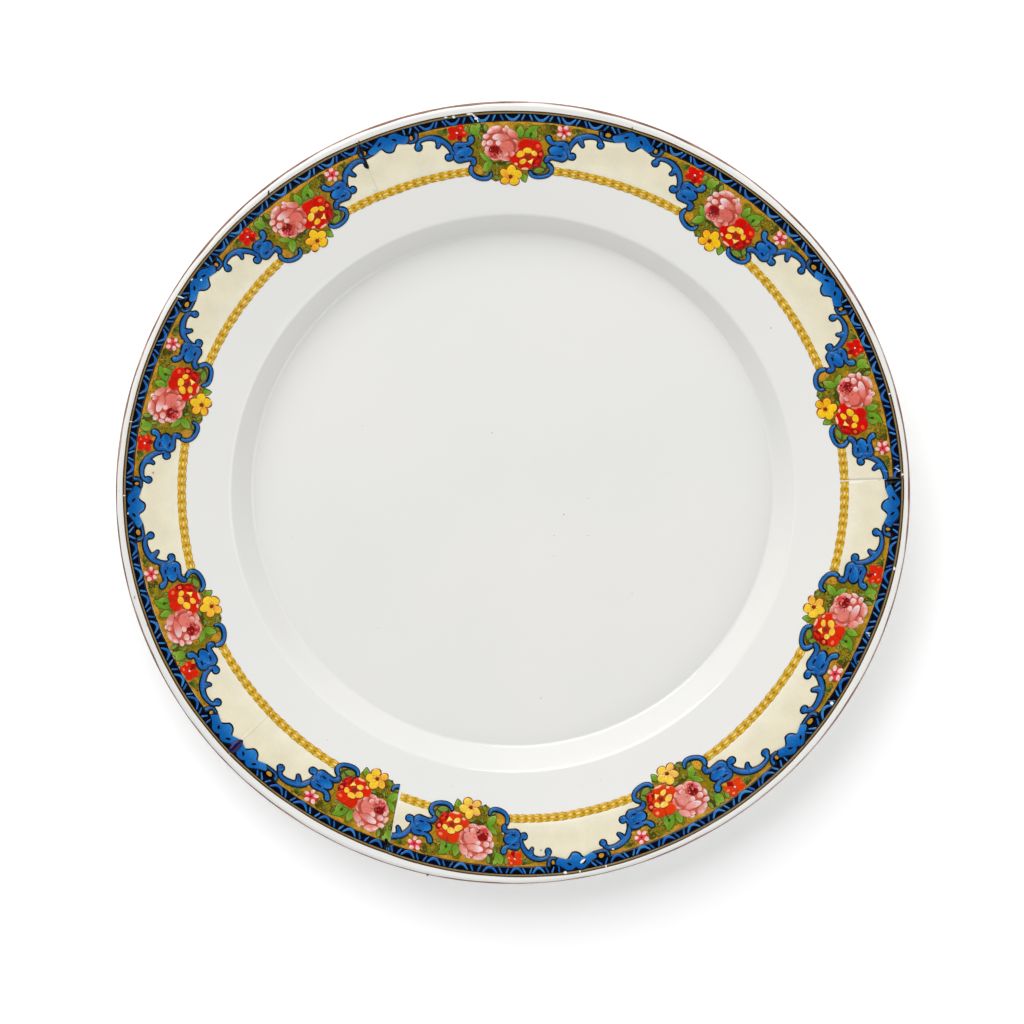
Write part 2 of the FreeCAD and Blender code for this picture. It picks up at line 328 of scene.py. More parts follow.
def unit(vector):
    """The vector, made one long."""
    vector = np.asarray(vector, float)
    return vector / np.linalg.norm(vector)


def crossing(point_a, along_a, point_b, along_b):
    """Where two lines of the half section cross, each given by a point and a direction."""
    run = np.linalg.solve(np.column_stack([along_a, -np.asarray(along_b)]), np.subtract(point_b, point_a))
    return np.asarray(point_a) + np.asarray(along_a) * run[0]


def glaze_corners(skin):
    """Corners of the half section from the middle of the floor over the lip to the foot's outside.

    They are those of the clay, each face moved out by skin, as rows of radius, height, rounding."""
    clay_radius = PLATE_RADIUS - GLAZE_THICKNESS
    floor_top = FOOT_HEIGHT + FLOOR_THICKNESS
    shoulder = np.array([PLATE_RADIUS - RIM_WIDTH, floor_top + WELL_DEPTH])
    floor_corner = shoulder - (WALL_RUN, WELL_DEPTH)
    lip = np.array([clay_radius, LIP_HEIGHT])
    wall, rim = unit(shoulder - floor_corner), unit(lip - shoulder)
    under_wall = floor_corner + WALL_THICKNESS * np.array([wall[1], -wall[0]])
    under_root = shoulder + WALL_THICKNESS * np.array([rim[1], -rim[0]])
    under_lip = np.array([clay_radius, LIP_HEIGHT - LIP_THICKNESS / rim[0]])
    under_rim = unit(under_lip - under_root)
    foot_outside = floor_corner[0] - FOOT_INSET
    points = [
        (0.0, floor_top), floor_corner, shoulder, lip, under_lip,
        crossing(under_wall, wall, under_root, under_rim),
        crossing(under_wall, wall, (0.0, FOOT_HEIGHT), (1.0, 0.0)),
        (foot_outside, FOOT_HEIGHT), (foot_outside, BARE_FOOT_HEIGHT),
    ]
    rounds = [0, -FLOOR_ROUND, SHOULDER_ROUND, LIP_ROUND, LIP_ROUND, -UNDER_SHOULDER_ROUND,
              UNDER_FLOOR_ROUND, -FOOT_ROUND, 0]
    points = np.array([np.asarray(p, float) for p in points])
    along = np.array([unit(b - a) for a, b in zip(points[:-1], points[1:])])
    moved = points[:-1] + skin * np.column_stack([-along[:, 1], along[:, 0]])
    corners = [(0.0, moved[0][1], 0.0)]
    for i in range(1, len(points) - 1):
        meet = crossing(moved[i - 1], along[i - 1], moved[i], along[i])
        corners.append((meet[0], meet[1], abs(rounds[i]) + math.copysign(skin, rounds[i])))
    corners.append((foot_outside + skin, BARE_FOOT_HEIGHT, 0.0))
    return corners


def rounded_path(corners, longest, arc_step=5.0):
    """Points along straight runs joined by tangent arcs, none further apart than longest on a run."""
    points = [np.array(corners[0][:2])]
    for before, here, after in zip(corners[:-2], corners[1:-1], corners[2:]):
        come, leave = unit(np.subtract(here[:2], before[:2])), unit(np.subtract(after[:2], here[:2]))
        turn = math.acos(float(np.clip(come @ leave, -1.0, 1.0)))
        reach = here[2] * math.tan(turn / 2.0)
        centre = np.array(here[:2]) + unit(leave - come) * here[2] / math.cos(turn / 2.0)
        start = np.array(here[:2]) - come * reach
        steps = max(3, round(math.degrees(turn) / arc_step))
        side = math.copysign(1.0, come[0] * leave[1] - come[1] * leave[0])
        sweep = side * np.linspace(0.0, turn, steps + 1)
        arm = start - centre
        points += [centre + np.array([arm[0] * math.cos(a) - arm[1] * math.sin(a),
                                      arm[0] * math.sin(a) + arm[1] * math.cos(a)]) for a in sweep]
    points.append(np.array(corners[-1][:2]))
    path = [points[0]]
    for a, b in zip(points[:-1], points[1:]):
        count = max(1, math.ceil(np.linalg.norm(b - a) / longest))
        path += [a + (b - a) * k / count for k in range(1, count + 1)]
    return np.array(path)


def warp(radius, angle):
    """The fired rim's stray: slow waves round the plate that grow from the shoulder to the lip."""
    grown = np.clip((radius - WARP_START) / (PLATE_RADIUS - WARP_START), 0.0, 1.0) ** 2
    waves = np.cos(2.0 * angle + 0.7) + 0.5 * np.cos(3.0 * angle - 1.9) + 0.25 * np.cos(5.0 * angle + 0.4)
    return WARP * grown * waves


OUTER_PATH = rounded_path(glaze_corners(GLAZE_THICKNESS), GLAZE_STEP)
LIP_CREST = int(np.argmax(OUTER_PATH[:, 1]))


def on_rim(radius, angle, lift):
    """Places points on the glazed top: radius and angle in plan, and lift square to the surface."""
    path_radius, path_height = OUTER_PATH[:LIP_CREST + 1].T
    height = np.interp(radius, path_radius, path_height)
    outside = np.interp(radius + SLOPE_REACH, path_radius, path_height)
    inside = np.interp(radius - SLOPE_REACH, path_radius, path_height)
    lean = np.arctan2(outside - inside, 2.0 * SLOPE_REACH)
    out = radius - lift * np.sin(lean)
    up = height + warp(radius, angle) + lift * np.cos(lean)
    return np.column_stack([out * np.cos(angle), out * np.sin(angle), up])


# ---------------------------------------------------------------- meshes

def new_piece(name, points, faces, material):
    """A smooth object from points in millimetres and a list of faces."""
    mesh = bpy.data.meshes.new(name)
    mesh.from_pydata((np.asarray(points) * MM).tolist(), [], faces)
    mesh.polygons.foreach_set("use_smooth", np.ones(len(faces), bool))
    mesh.materials.append(material)
    piece = bpy.data.objects.new(name, mesh)
    bpy.context.scene.collection.objects.link(piece)
    return piece


def turned_mesh(path, turns):
    """Points and faces of a closed profile turned about Z. Its first and last points are its two poles."""
    angle = np.arange(turns) * 2.0 * math.pi / turns
    body = path[1:-1]
    radius, height = body[:, :1], body[:, 1:]
    grid = np.stack([radius * np.cos(angle), radius * np.sin(angle), height + warp(radius, angle)], axis=-1)
    points = np.vstack([[0.0, 0.0, path[0][1]], grid.reshape(-1, 3), [0.0, 0.0, path[-1][1]]])
    ring = 1 + np.arange(turns)
    after = 1 + (np.arange(turns) + 1) % turns
    faces = np.column_stack([np.zeros(turns, int), ring, after]).tolist()
    rows = np.arange(len(body) - 1)[:, None] * turns
    quads = np.stack([ring + rows, ring + rows + turns, after + rows + turns, after + rows], axis=-1)
    faces += quads.reshape(-1, 4).tolist()
    last = (len(body) - 1) * turns
    end = len(points) - 1
    faces += np.column_stack([after + last, ring + last, np.full(turns, end)]).tolist()
    return points, faces


def make_outer_glaze(material):
    """The glass coat, a thin shell: over the top, round the lip, under to the foot, and back by the clay."""
    inner = rounded_path(glaze_corners(0.0), CLAY_STEP, CLAY_ARC_STEP)
    path = np.vstack([OUTER_PATH, inner[::-1]])
    points, faces = turned_mesh(path, GLAZE_TURNS)
    return new_piece("glaze_coat", points, faces, material)


def make_clay_body(material):
    """The fired clay: inside the glaze as far as the foot, then round the bare foot and under the base."""
    corners = glaze_corners(0.0)
    outside = corners[-1][0]
    inside = outside - FOOT_WIDTH
    foot = [(outside, 0.0, FOOT_ROUND), (inside, 0.0, FOOT_ROUND), (inside, FOOT_HEIGHT, FOOT_ROUND),
            (0.0, FOOT_HEIGHT, 0.0)]
    path = rounded_path(corners[:-1] + foot, CLAY_STEP, CLAY_ARC_STEP)
    points, faces = turned_mesh(path, GLAZE_TURNS)
    return new_piece("clay_body", points, faces, material)


def make_base_glaze(material):
    """The glass coat inside the foot ring: a shallow dish, from the base's middle to the wiped foot."""
    inside = glaze_corners(0.0)[-1][0] - FOOT_WIDTH
    sides = []
    for skin in (0.0, GLAZE_THICKNESS):
        corners = [(0.0, FOOT_HEIGHT - skin, 0.0), (inside - skin, FOOT_HEIGHT - skin, FOOT_ROUND - skin),
                   (inside - skin, BARE_FOOT_HEIGHT, 0.0)]
        sides.append(rounded_path(corners, CLAY_STEP, CLAY_ARC_STEP))
    upper, lower = sides
    points, faces = turned_mesh(np.vstack([upper, lower[::-1]]), GLAZE_TURNS)
    return new_piece("base_coat", points, faces, material)


def make_gilt_line(material):
    """The gilt line: a thin crescent band round the lip's outer shoulder, its edges worn wavy."""
    turns, across = 720, 6
    angle = np.arange(turns) * 2.0 * math.pi / turns
    centre_radius = PLATE_RADIUS - GLAZE_THICKNESS - LIP_ROUND
    crest = OUTER_PATH[LIP_CREST]
    centre_height = crest[1] - LIP_ROUND - GLAZE_THICKNESS
    nibble = 5.0 * np.sin(11.0 * angle + 1.0) + 4.0 * np.sin(23.0 * angle + 2.0) + 3.0 * np.sin(57.0 * angle)
    low, high = GILT_LOW_EDGE - 0.4 * nibble, GILT_HIGH_EDGE + nibble
    share = np.linspace(0.0, 1.0, across)[:, None]
    face = np.radians(low + (high - low) * share)
    reach = LIP_ROUND + GLAZE_THICKNESS
    outer = reach + 0.03 + 0.05 * np.sin(np.pi * share)
    inner = np.full_like(outer, reach - SUNK)
    rings = []
    for reaches, faces_at in ((outer, face), (inner, face[::-1])):
        radius = centre_radius + reaches * np.cos(faces_at)
        height = centre_height + reaches * np.sin(faces_at)
        rings.append(np.stack([radius * np.cos(angle), radius * np.sin(angle),
                               height + warp(radius, angle)], axis=-1))
    grid = np.vstack(rings)
    rows = len(grid)
    index = np.arange(rows * turns).reshape(rows, turns)
    below, beside = np.roll(index, -1, axis=0), np.roll(index, -1, axis=1)
    quads = np.stack([index, beside, np.roll(below, -1, axis=1), below], axis=-1)
    return new_piece("gilt_line", grid.reshape(-1, 3), quads.reshape(-1, 4).tolist(), material)


# ---------------------------------------------------------------- drawing the print

def flowing(points, step, closed=False):
    """A Catmull-Rom curve through the points, sampled every step or so. Rows may carry a half width too."""
    p = np.asarray(points, float)
    if closed:
        knots = np.vstack([p[-1:], p, p[:2]])
    else:
        knots = np.vstack([2.0 * p[:1] - p[1:2], p, 2.0 * p[-1:] - p[-2:-1]])
    runs = []
    for a, b, c, d in zip(knots[:-3], knots[1:-2], knots[2:-1], knots[3:]):
        count = max(2, math.ceil(np.linalg.norm((c - b)[:2]) / step))
        t = np.arange(count)[:, None] / count
        runs.append(0.5 * (2.0 * b + (c - a) * t + (2.0 * a - 5.0 * b + 4.0 * c - d) * t ** 2
                           + (3.0 * b - a - 3.0 * c + d) * t ** 3))
    if not closed:
        runs.append(p[-1:])
    return np.vstack(runs)


# What each ink pales towards where the print took it thinly
PALER = {"yellow": "yellow_pale", "amber": "faded_gold", "red": "orange", "orange": "peach",
         "rose": "rose_pale", "rose_deep": "rose", "gold_ochre": "rope"}


class Sheet:
    """Enamel shapes drawn flat, to be fired on as one piece. Every shape is a closed, slightly domed lens."""

    def __init__(self, shift=(0.0, 0.0), fade=0.0):
        self.shift = np.array(shift)
        self.fade = fade
        self.points, self.faces, self.inks, self.count = [], [], [], 0

    def tone(self, ink):
        """An ink's colour, a little lighter or darker each time it is laid, and paler on a faded sheet."""
        colour = INK[ink]
        if ink in PALER:
            colour = colour + 0.55 * self.fade * (INK[PALER[ink]] - colour)
        return np.clip(colour * (1.0 + TONE_SPREAD * rng.uniform(-1.0, 1.0)), 0.0, 1.0)

    def lay(self, uv, lift, inks, faces):
        """Adds one shape's points, colours and faces."""
        uv = np.asarray(uv) + self.shift
        self.points.append(np.column_stack([uv, lift]))
        self.inks.append(np.asarray(inks))
        self.faces += [[self.count + i for i in face] for face in faces]
        self.count += len(uv)

    def between(self, left, right, level, inks, dome=0.0, ends=None, columns=3):
        """A shape between two curves, its colours running from left to right and then to ends at its ends."""
        left, right = np.asarray(left, float), np.asarray(right, float)
        rows = len(left)
        width = np.maximum(np.linalg.norm(right - left, axis=1), 1e-4)
        inner = np.linspace(0.0, 1.0, columns)
        rim = np.clip(0.05 / width, 0.0, 0.3)[:, None]
        share = np.hstack([np.zeros((rows, 1)), rim + inner * (1.0 - 2.0 * rim), np.ones((rows, 1))])
        uv = left[:, None] + (right - left)[:, None] * share[..., None]
        crown = level * LAYER + dome * (1.0 - (2.0 * inner - 1.0) ** 2)
        lift = np.tile(np.concatenate([[-SUNK], crown, [-SUNK]]), (rows, 1))
        stops = np.linspace(0.0, 1.0, len(inks))
        colour = np.stack([np.interp(share, stops, [ink[c] for ink in inks]) for c in range(3)], axis=-1)
        if ends is not None:
            along = np.linspace(0.0, 1.0, rows)
            weight = np.clip(np.abs(along - 0.5) * 2.6 - 0.3, 0.0, 1.0)[:, None, None]
            toward = np.where(along[:, None, None] < 0.5, ends[0], ends[1])
            colour = colour + (toward - colour) * weight
        across = columns + 2
        first, last = uv[0, 1:-1].mean(axis=0), uv[-1, 1:-1].mean(axis=0)
        first = first - 0.03 * unit(uv[1].mean(axis=0) - uv[0].mean(axis=0))
        last = last + 0.03 * unit(uv[-1].mean(axis=0) - uv[-2].mean(axis=0))
        index = np.arange(rows * across).reshape(rows, across)
        top = np.stack([index[:-1, :-1], index[1:, :-1], index[1:, 1:], index[:-1, 1:]], axis=-1)
        under = np.stack([index[:-1, 0], index[:-1, -1], index[1:, -1], index[1:, 0]], axis=-1)
        a, b = rows * across, rows * across + 1
        faces = top.reshape(-1, 4).tolist() + under.tolist()
        faces += [[a, i, i + 1] for i in range(across - 1)] + [[a, across - 1, 0]]
        base = (rows - 1) * across
        faces += [[b, base + i + 1, base + i] for i in range(across - 1)] + [[b, base, base + across - 1]]
        self.lay(np.vstack([uv.reshape(-1, 2), first, last]),
                 np.concatenate([lift.ravel(), [-SUNK, -SUNK]]),
                 np.vstack([colour.reshape(-1, 3), colour[0, 0], colour[-1, 0]]), faces)

    def stroke(self, points, level, ink, edge=None, ends=None, dome=0.02, step=0.45, grow=0.0):
        """A brush stroke along (u, v, half width), rounded at both ends and widened by grow."""
        path = flowing(points, step)
        line, half = path[:, :2], np.maximum(path[:, 2], 0.02) + grow
        along = np.gradient(line, axis=0)
        along /= np.linalg.norm(along, axis=1)[:, None]
        rounding = ((0.6, 0.8), (0.95, 0.3))
        head = [(line[0] - along[0] * half[0] * k, half[0] * w, along[0]) for k, w in rounding[::-1]]
        tail = [(line[-1] + along[-1] * half[-1] * k, half[-1] * w, along[-1]) for k, w in rounding]
        line = np.vstack([[p for p, _, _ in head], line, [p for p, _, _ in tail]])
        along = np.vstack([[d for _, _, d in head], along, [d for _, _, d in tail]])
        half = np.concatenate([[h for _, h, _ in head], half, [h for _, h, _ in tail]])[:, None]
        aside = np.column_stack([along[:, 1], -along[:, 0]]) * half
        body = self.tone(ink)
        rim = body if edge is None else self.tone(edge)
        self.between(line + aside, line - aside, level, [rim, body, body, rim], dome,
                     None if ends is None else [self.tone(e) for e in ends])

    def blob(self, outline, level, ink, edge=None, tip=None, toward=-90.0, dome=0.035, grow=0.0, step=0.4):
        """A petal or leaf inside a closed curve, paling or darkening to tip in one direction."""
        curve = flowing(outline, step, closed=True)
        centre = curve.mean(axis=0)
        arm = curve - centre
        reach = np.linalg.norm(arm, axis=1)[:, None]
        arm = arm * (1.0 + grow / reach)
        spin = np.sum(curve[:, 0] * np.roll(curve[:, 1], -1) - np.roll(curve[:, 0], -1) * curve[:, 1])
        if spin > 0.0:
            arm = arm[::-1]
        n = len(arm)
        rings = ((0.6, 0.8), (0.88, 0.45), (1.0, None))
        uv = [centre[None]] + [centre + arm * share for share, _ in rings] + [centre[None]]
        lift = [[level * LAYER + dome]]
        lift += [np.full(n, -SUNK if high is None else level * LAYER + dome * high) for _, high in rings]
        body = self.tone(ink)
        rim = body * 0.82 if edge is None else self.tone(edge)
        uv = np.vstack(uv)
        colour = np.vstack([body[None], np.tile(body, (n, 1)), np.tile(0.75 * body + 0.25 * rim, (n, 1)),
                            np.tile(rim, (n, 1)), body[None]])
        if tip is not None:
            way = np.array([math.cos(math.radians(toward)), math.sin(math.radians(toward))])
            push = (uv - centre) @ way / max(np.abs(arm @ way).max(), 1e-4)
            weight = np.clip(0.25 + 0.95 * push, 0.0, 1.0)[:, None]
            weight = weight * np.where(np.arange(len(uv)) >= 1 + 2 * n, 0.6, 1.0)[:, None]
            colour = colour + (self.tone(tip) - colour) * weight
        i = np.arange(n)
        j = (i + 1) % n
        faces = np.column_stack([np.zeros(n, int), 1 + i, 1 + j]).tolist()
        for ring in (0, 1):
            low, high = 1 + ring * n, 1 + (ring + 1) * n
            faces += np.column_stack([low + i, high + i, high + j, low + j]).tolist()
        faces += np.column_stack([1 + 2 * n + j, 1 + 2 * n + i, np.full(n, 1 + 3 * n)]).tolist()
        self.lay(uv, np.concatenate([*lift, [-SUNK]]), colour, faces)

    def oval(self, u, v, long, short, turn, level, ink, **more):
        """A blob of an uneven oval, its long half axis turned towards turn degrees."""
        count = 8 if long < 0.7 else 12
        around = np.arange(count) * 2.0 * math.pi / count
        uneven = 1.0 + 0.05 * np.sin(2.0 * around + rng.uniform(0.0, 6.0))
        uneven = uneven + 0.04 * np.sin(3.0 * around + rng.uniform(0.0, 6.0))
        c, s = math.cos(math.radians(turn)), math.sin(math.radians(turn))
        x, y = long * np.cos(around) * uneven, short * np.sin(around) * uneven
        self.blob(np.column_stack([u + x * c - y * s, v + x * s + y * c]), level, ink, **more)

    def leaf(self, start, stop, width, level, ink, tip):
        """A pointed leaf from its stalk to its tip, with a fine rib."""
        start, stop = np.array(start), np.array(stop)
        run = stop - start
        aside = np.array([-run[1], run[0]]) / np.linalg.norm(run) * width
        shape = [start, start + 0.25 * run + 0.85 * aside, start + 0.55 * run + aside,
                 start + 0.85 * run + 0.5 * aside, stop, start + 0.85 * run - 0.5 * aside,
                 start + 0.55 * run - aside, start + 0.25 * run - 0.85 * aside]
        way = math.degrees(math.atan2(run[1], run[0]))
        self.blob(shape, level - 1, "leaf_dark", edge="leaf_dark", dome=0.01, grow=0.22)
        self.blob(shape, level, ink, edge="leaf_dark", tip=tip, toward=way + rng.uniform(-60.0, 60.0))
        middle = start + 0.5 * run + 0.1 * aside
        self.stroke([(*(start + 0.12 * run), 0.07), (*middle, 0.08), (*(start + 0.85 * run), 0.03)],
                    level + 2, "leaf_dark", dome=0.01)

    def specks(self, u, v, wide, high, count, level, inks, size=0.22):
        """Stippled dots scattered over an oval patch."""
        around, out = rng.uniform(0.0, 2.0 * math.pi, count), np.sqrt(rng.uniform(0.0, 1.0, count))
        for a, r in zip(around, out):
            long = size * rng.uniform(0.6, 1.5)
            short = long * rng.uniform(0.5, 0.9)
            turn = rng.uniform(0.0, 180.0)
            ink = inks[rng.integers(len(inks))]
            place = (u + wide * r * math.cos(a), v + high * r * math.sin(a))
            self.oval(*place, long, short, turn, level, ink, dome=0.008, step=2.0)


def place_table(strip):
    """Where the border was laid: distances along it against angles, at ease between posies and leaves."""
    rows = []
    for k, angle in enumerate(strip["posies"]):
        rows += [(k * REPEAT + d, angle - d * DEGREES_PER_MM) for d in (-TRUE_POSY, TRUE_POSY)]
    for k, angle in enumerate(strip["leaves"]):
        rows += [((k - 0.5) * REPEAT + d, angle - d * DEGREES_PER_MM) for d in (-TRUE_LEAF, TRUE_LEAF)]
    rows.sort()
    before, after = rows[0], rows[-1]
    rows.insert(0, (before[0] - RUN_ON, before[1] + RUN_ON * DEGREES_PER_MM))
    rows.append((after[0] + RUN_ON, after[1] - RUN_ON * DEGREES_PER_MM))
    return np.array(rows).T


def fire(sheet, name, strip, material, cut=True):
    """Fires a drawn sheet on to the rim as one piece, cut off where its length of print starts and stops."""
    points = np.vstack(sheet.points)
    along, angles = place_table(strip)
    degrees = np.interp(points[:, 0], along, angles)
    gaps = strip["gaps"]
    gap_at = np.linspace(strip["start"][0], strip["stop"][0], len(gaps))
    edge = PLATE_RADIUS - GILT_INSET - np.interp(-degrees, -gap_at, gaps)
    placed = on_rim(edge - points[:, 1], np.radians(degrees), points[:, 2])
    piece = new_piece(name, placed, sheet.faces, material)
    mesh = piece.data
    ink = mesh.color_attributes.new("ink", "FLOAT_COLOR", "POINT")
    colour = np.column_stack([np.vstack(sheet.inks), np.ones(len(points))])
    ink.data.foreach_set("color", colour.astype(np.float32).ravel())
    low, high = degrees.min(), degrees.max()
    shape = bmesh.new()
    shape.from_mesh(mesh)
    cuts = []
    if cut and high >= min(strip["start"]):
        cuts.append((strip["start"], 1.0))
    if cut and low <= max(strip["stop"]):
        cuts.append((strip["stop"], -1.0))
    for (outer, inner), side in cuts:
        a = CUT_OUTER_RADIUS * np.array([math.cos(math.radians(outer)), math.sin(math.radians(outer)), 0.0])
        b = CUT_INNER_RADIUS * np.array([math.cos(math.radians(inner)), math.sin(math.radians(inner)), 0.0])
        beyond = np.cross([0.0, 0.0, 1.0], unit(a - b)) * side
        everything = (*shape.verts, *shape.edges, *shape.faces)
        bmesh.ops.bisect_plane(shape, geom=everything, plane_co=(a * MM).tolist(),
                               plane_no=beyond.tolist(), clear_outer=True)
        open_edges = [e for e in shape.edges if e.is_boundary]
        bmesh.ops.holes_fill(shape, edges=open_edges, sides=0)
    if not shape.faces:
        shape.free()
        bpy.data.objects.remove(piece)
        return None
    shape.to_mesh(mesh)
    shape.free()
    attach(piece, "root")
    return piece


# ---------------------------------------------------------------- the border's figures

def draw_band(sheet, start, stop):
    """The navy band, from start to stop along the border."""
    along = np.linspace(start, stop, round((stop - start) / 1.2))
    wave = 0.04 * np.sin(along * 0.9)
    sheet.between(np.column_stack([along, np.full_like(along, BAND_TOP)]),
                  np.column_stack([along, BAND_FOOT + wave]), 3,
                  [INK["black_navy"], INK["navy"], INK["black_navy"]], columns=5)


def draw_edge_lines(sheet, start, stop):
    """The black hairline outside the band, and the fine tan lines between the two."""
    along = np.linspace(start, stop, round((stop - start) / 1.2))
    sway = 0.05 * np.sin(along * 0.11) + 0.03 * np.sin(along * 0.37 + 1.0)
    for outer, inner, level, ink in ((-0.42, 0.08, 2, "edge_brown"), (-0.28, -0.1, 3, "edge_dark"),
                                     (0.0, 0.5, 1, "edge_gold")):
        sheet.between(np.column_stack([along, outer + sway]), np.column_stack([along, inner + 0.5 * sway]),
                      level, [INK[ink]] * 2)


def draw_band_figures(sheet):
    """Blue crescents on the band, with two dashes leaning apart between neighbours."""
    crescents = (-24.3, -16.8, -8.2, 0.5, 8.8, 16.7, 24.4)
    for u in crescents:
        ink = ("blue", "band_blue", "light_blue")[rng.integers(3)]
        half = 1.95 + 0.1 * rng.uniform(-1.0, 1.0)
        crescent = [(-1.0, 0.95, 0.2), (-0.66, 1.75, 0.34), (-0.34, 2.32, 0.42), (0.0, 2.45, 0.44),
                    (0.34, 2.32, 0.42), (0.66, 1.75, 0.36), (1.0, 0.95, 0.24)]
        sheet.stroke([(u + share * half, v, w) for share, v, w in crescent], 5, ink,
                     ends=(("light_blue", ink)[rng.integers(2)], ink))
    for u, after in zip(crescents[:-1], crescents[1:]):
        middle = (u + after) / 2.0
        for top, foot in ((-0.8, -1.5), (0.85, 1.6)):
            ink = ("blue", "band_blue", "light_blue")[rng.integers(3)]
            sheet.stroke([(middle + top, 1.0, 0.28), (middle + (top + foot) / 2.0, 1.75, 0.3),
                          (middle + foot, 2.5, 0.2)], 5, ink)
    for u, lean in ((28.0, -0.8), (29.2, 1.3), (31.0, 1.0), (-31.1, 0.0), (-28.9, -0.7), (-27.6, 0.7)):
        sheet.stroke([(u, 0.95, 0.3), (u + lean, 2.3, 0.24)], 5, ("blue", "light_blue")[rng.integers(2)])


def draw_outlined(sheet, strokes, blobs, line=0.48, level=5):
    """Scrollwork: every stroke and blob first in navy, a line wider, then in blue, then its highlights."""
    for points in strokes:
        sheet.stroke(points, level, "navy", grow=line + SWELL)
    for outline in blobs:
        sheet.blob(outline, level, "navy", edge="navy", grow=line + SWELL, dome=0.02)
    for points in strokes:
        sheet.stroke(points, level + 2, "blue", edge="blue", ends=("light_blue", "blue"),
                     dome=0.03, grow=SWELL)
        p = np.array(points, float)
        if len(p) > 3:
            shine = np.column_stack([p[:, 0], p[:, 1] - 0.2 * p[:, 2], 0.22 * p[:, 2]])
            sheet.stroke(shine[1:-1], level + 4, "light_blue", ends=("blue", "blue"), dome=0.02)
    for outline in blobs:
        sheet.blob(outline, level + 2, "blue", edge="blue", tip="light_blue", toward=-120.0, grow=SWELL)


def ball(u, v, radius):
    """A round outline."""
    around = np.arange(8) * math.pi / 4.0
    return np.column_stack([u + radius * np.cos(around), v + radius * np.sin(around)])


def draw_arms(sheet, u):
    """The two blue scroll arms over a cream panel, and the acanthus leaf between them."""
    left = [(-17.6, 12.9, 0.45), (-18.35, 12.0, 0.45), (-18.6, 10.8, 0.45), (-18.0, 8.9, 0.5),
            (-16.6, 6.9, 0.6), (-14.2, 5.6, 0.62), (-12.0, 5.15, 0.5), (-10.3, 5.45, 0.4),
            (-9.5, 6.4, 0.45)]
    right = [(8.5, 6.4, 0.5), (9.0, 5.7, 0.32), (10.4, 5.25, 0.35), (12.5, 5.3, 0.5), (14.9, 6.4, 0.62),
             (16.8, 8.3, 0.55), (17.8, 10.2, 0.45), (18.0, 11.8, 0.42), (17.3, 12.9, 0.4)]
    spurs = [[(-15.6, 6.7, 0.7), (-15.1, 7.8, 0.5), (-14.5, 8.6, 0.3)],
             [(14.6, 6.8, 0.7), (14.4, 7.9, 0.45), (14.0, 8.5, 0.3)]]
    hooks = [[(-10.0, 3.4, 0.2), (-9.7, 4.4, 0.22), (-8.6, 4.95, 0.2), (-6.2, 4.9, 0.16)],
             [(8.6, 3.2, 0.3), (8.4, 4.4, 0.25), (7.6, 5.1, 0.2), (6.2, 5.1, 0.16)]]
    moved = [[(u + x, v, w) for x, v, w in points] for points in [left, right] + spurs + hooks]
    balls = [ball(u - 17.0, 12.5, 0.9), ball(u + 16.7, 12.5, 0.95), ball(u - 9.2, 7.3, 0.85),
             ball(u + 8.3, 7.4, 0.9)]
    draw_outlined(sheet, moved, balls)
    for x, v, way in ((-17.75, 11.6, 1.0), (17.35, 11.6, -1.0), (-9.75, 6.7, -1.0), (8.95, 6.75, 1.0)):
        curl = [(u + x, v - 0.75, 0.07), (u + x + 0.1 * way, v, 0.13), (u + x + 0.75 * way, v + 0.25, 0.06)]
        sheet.stroke(curl, 10, "navy", dome=0.01)
    acanthus = [(-6.1, 3.6), (-5.9, 4.7), (-4.8, 5.5), (-4.2, 4.6), (-3.7, 3.9), (-2.9, 4.3), (-1.9, 4.5),
                (-1.4, 5.5), (-0.8, 6.1), (0.0, 6.4), (0.8, 6.2), (1.4, 5.3), (2.0, 4.6), (3.2, 4.2),
                (3.8, 4.5), (4.6, 5.4), (5.6, 4.6), (6.1, 3.2), (4.9, 2.6), (4.0, 1.8), (3.1, 1.0),
                (2.1, 0.75), (1.1, 1.0), (0.4, 1.6), (-0.4, 0.9), (-1.3, 0.6), (-2.3, 0.95), (-3.3, 1.8),
                (-4.5, 2.7)]
    shape = np.array(acanthus) * (1.14, 1.0) + (u, 0.0)
    sheet.blob(shape, 6, "navy", edge="navy", grow=0.42, dome=0.02, step=0.5)
    sheet.blob(shape, 8, "blue", edge="blue", tip="light_blue", toward=100.0, step=0.5)
    for x, v, turn in ((-2.45, 2.8, -35.0), (2.1, 2.9, 40.0)):
        sheet.oval(u + x, v, 0.9, 0.42, turn, 11, "black_navy", dome=0.015)
    for back in ([(-10.6, 2.7), (-10.4, 4.6), (-8.8, 5.5), (-6.2, 5.4), (-5.2, 2.7)],
                 [(9.4, 2.7), (9.1, 4.8), (7.8, 5.5), (6.2, 5.5), (5.2, 2.7)]):
        sheet.blob(np.array(back) + (u, 0.0), 4, "black_navy", edge="black_navy", dome=0.004)
    for x, v, w, dark in ((-7.8, 3.6, 0.9, 0.7), (7.0, 3.9, 0.5, 0.72)):
        sheet.oval(u + x, v, w, dark, 0.0, 6, "gold_ochre")
    for x, v, way in ((-4.4, 3.3, -0.3), (4.3, 3.4, 0.3), (0.1, 3.6, 0.0)):
        sheet.stroke([(u + x, v, 0.12), (u + x + way, v + 1.2, 0.06)], 11, "light_blue", dome=0.01)


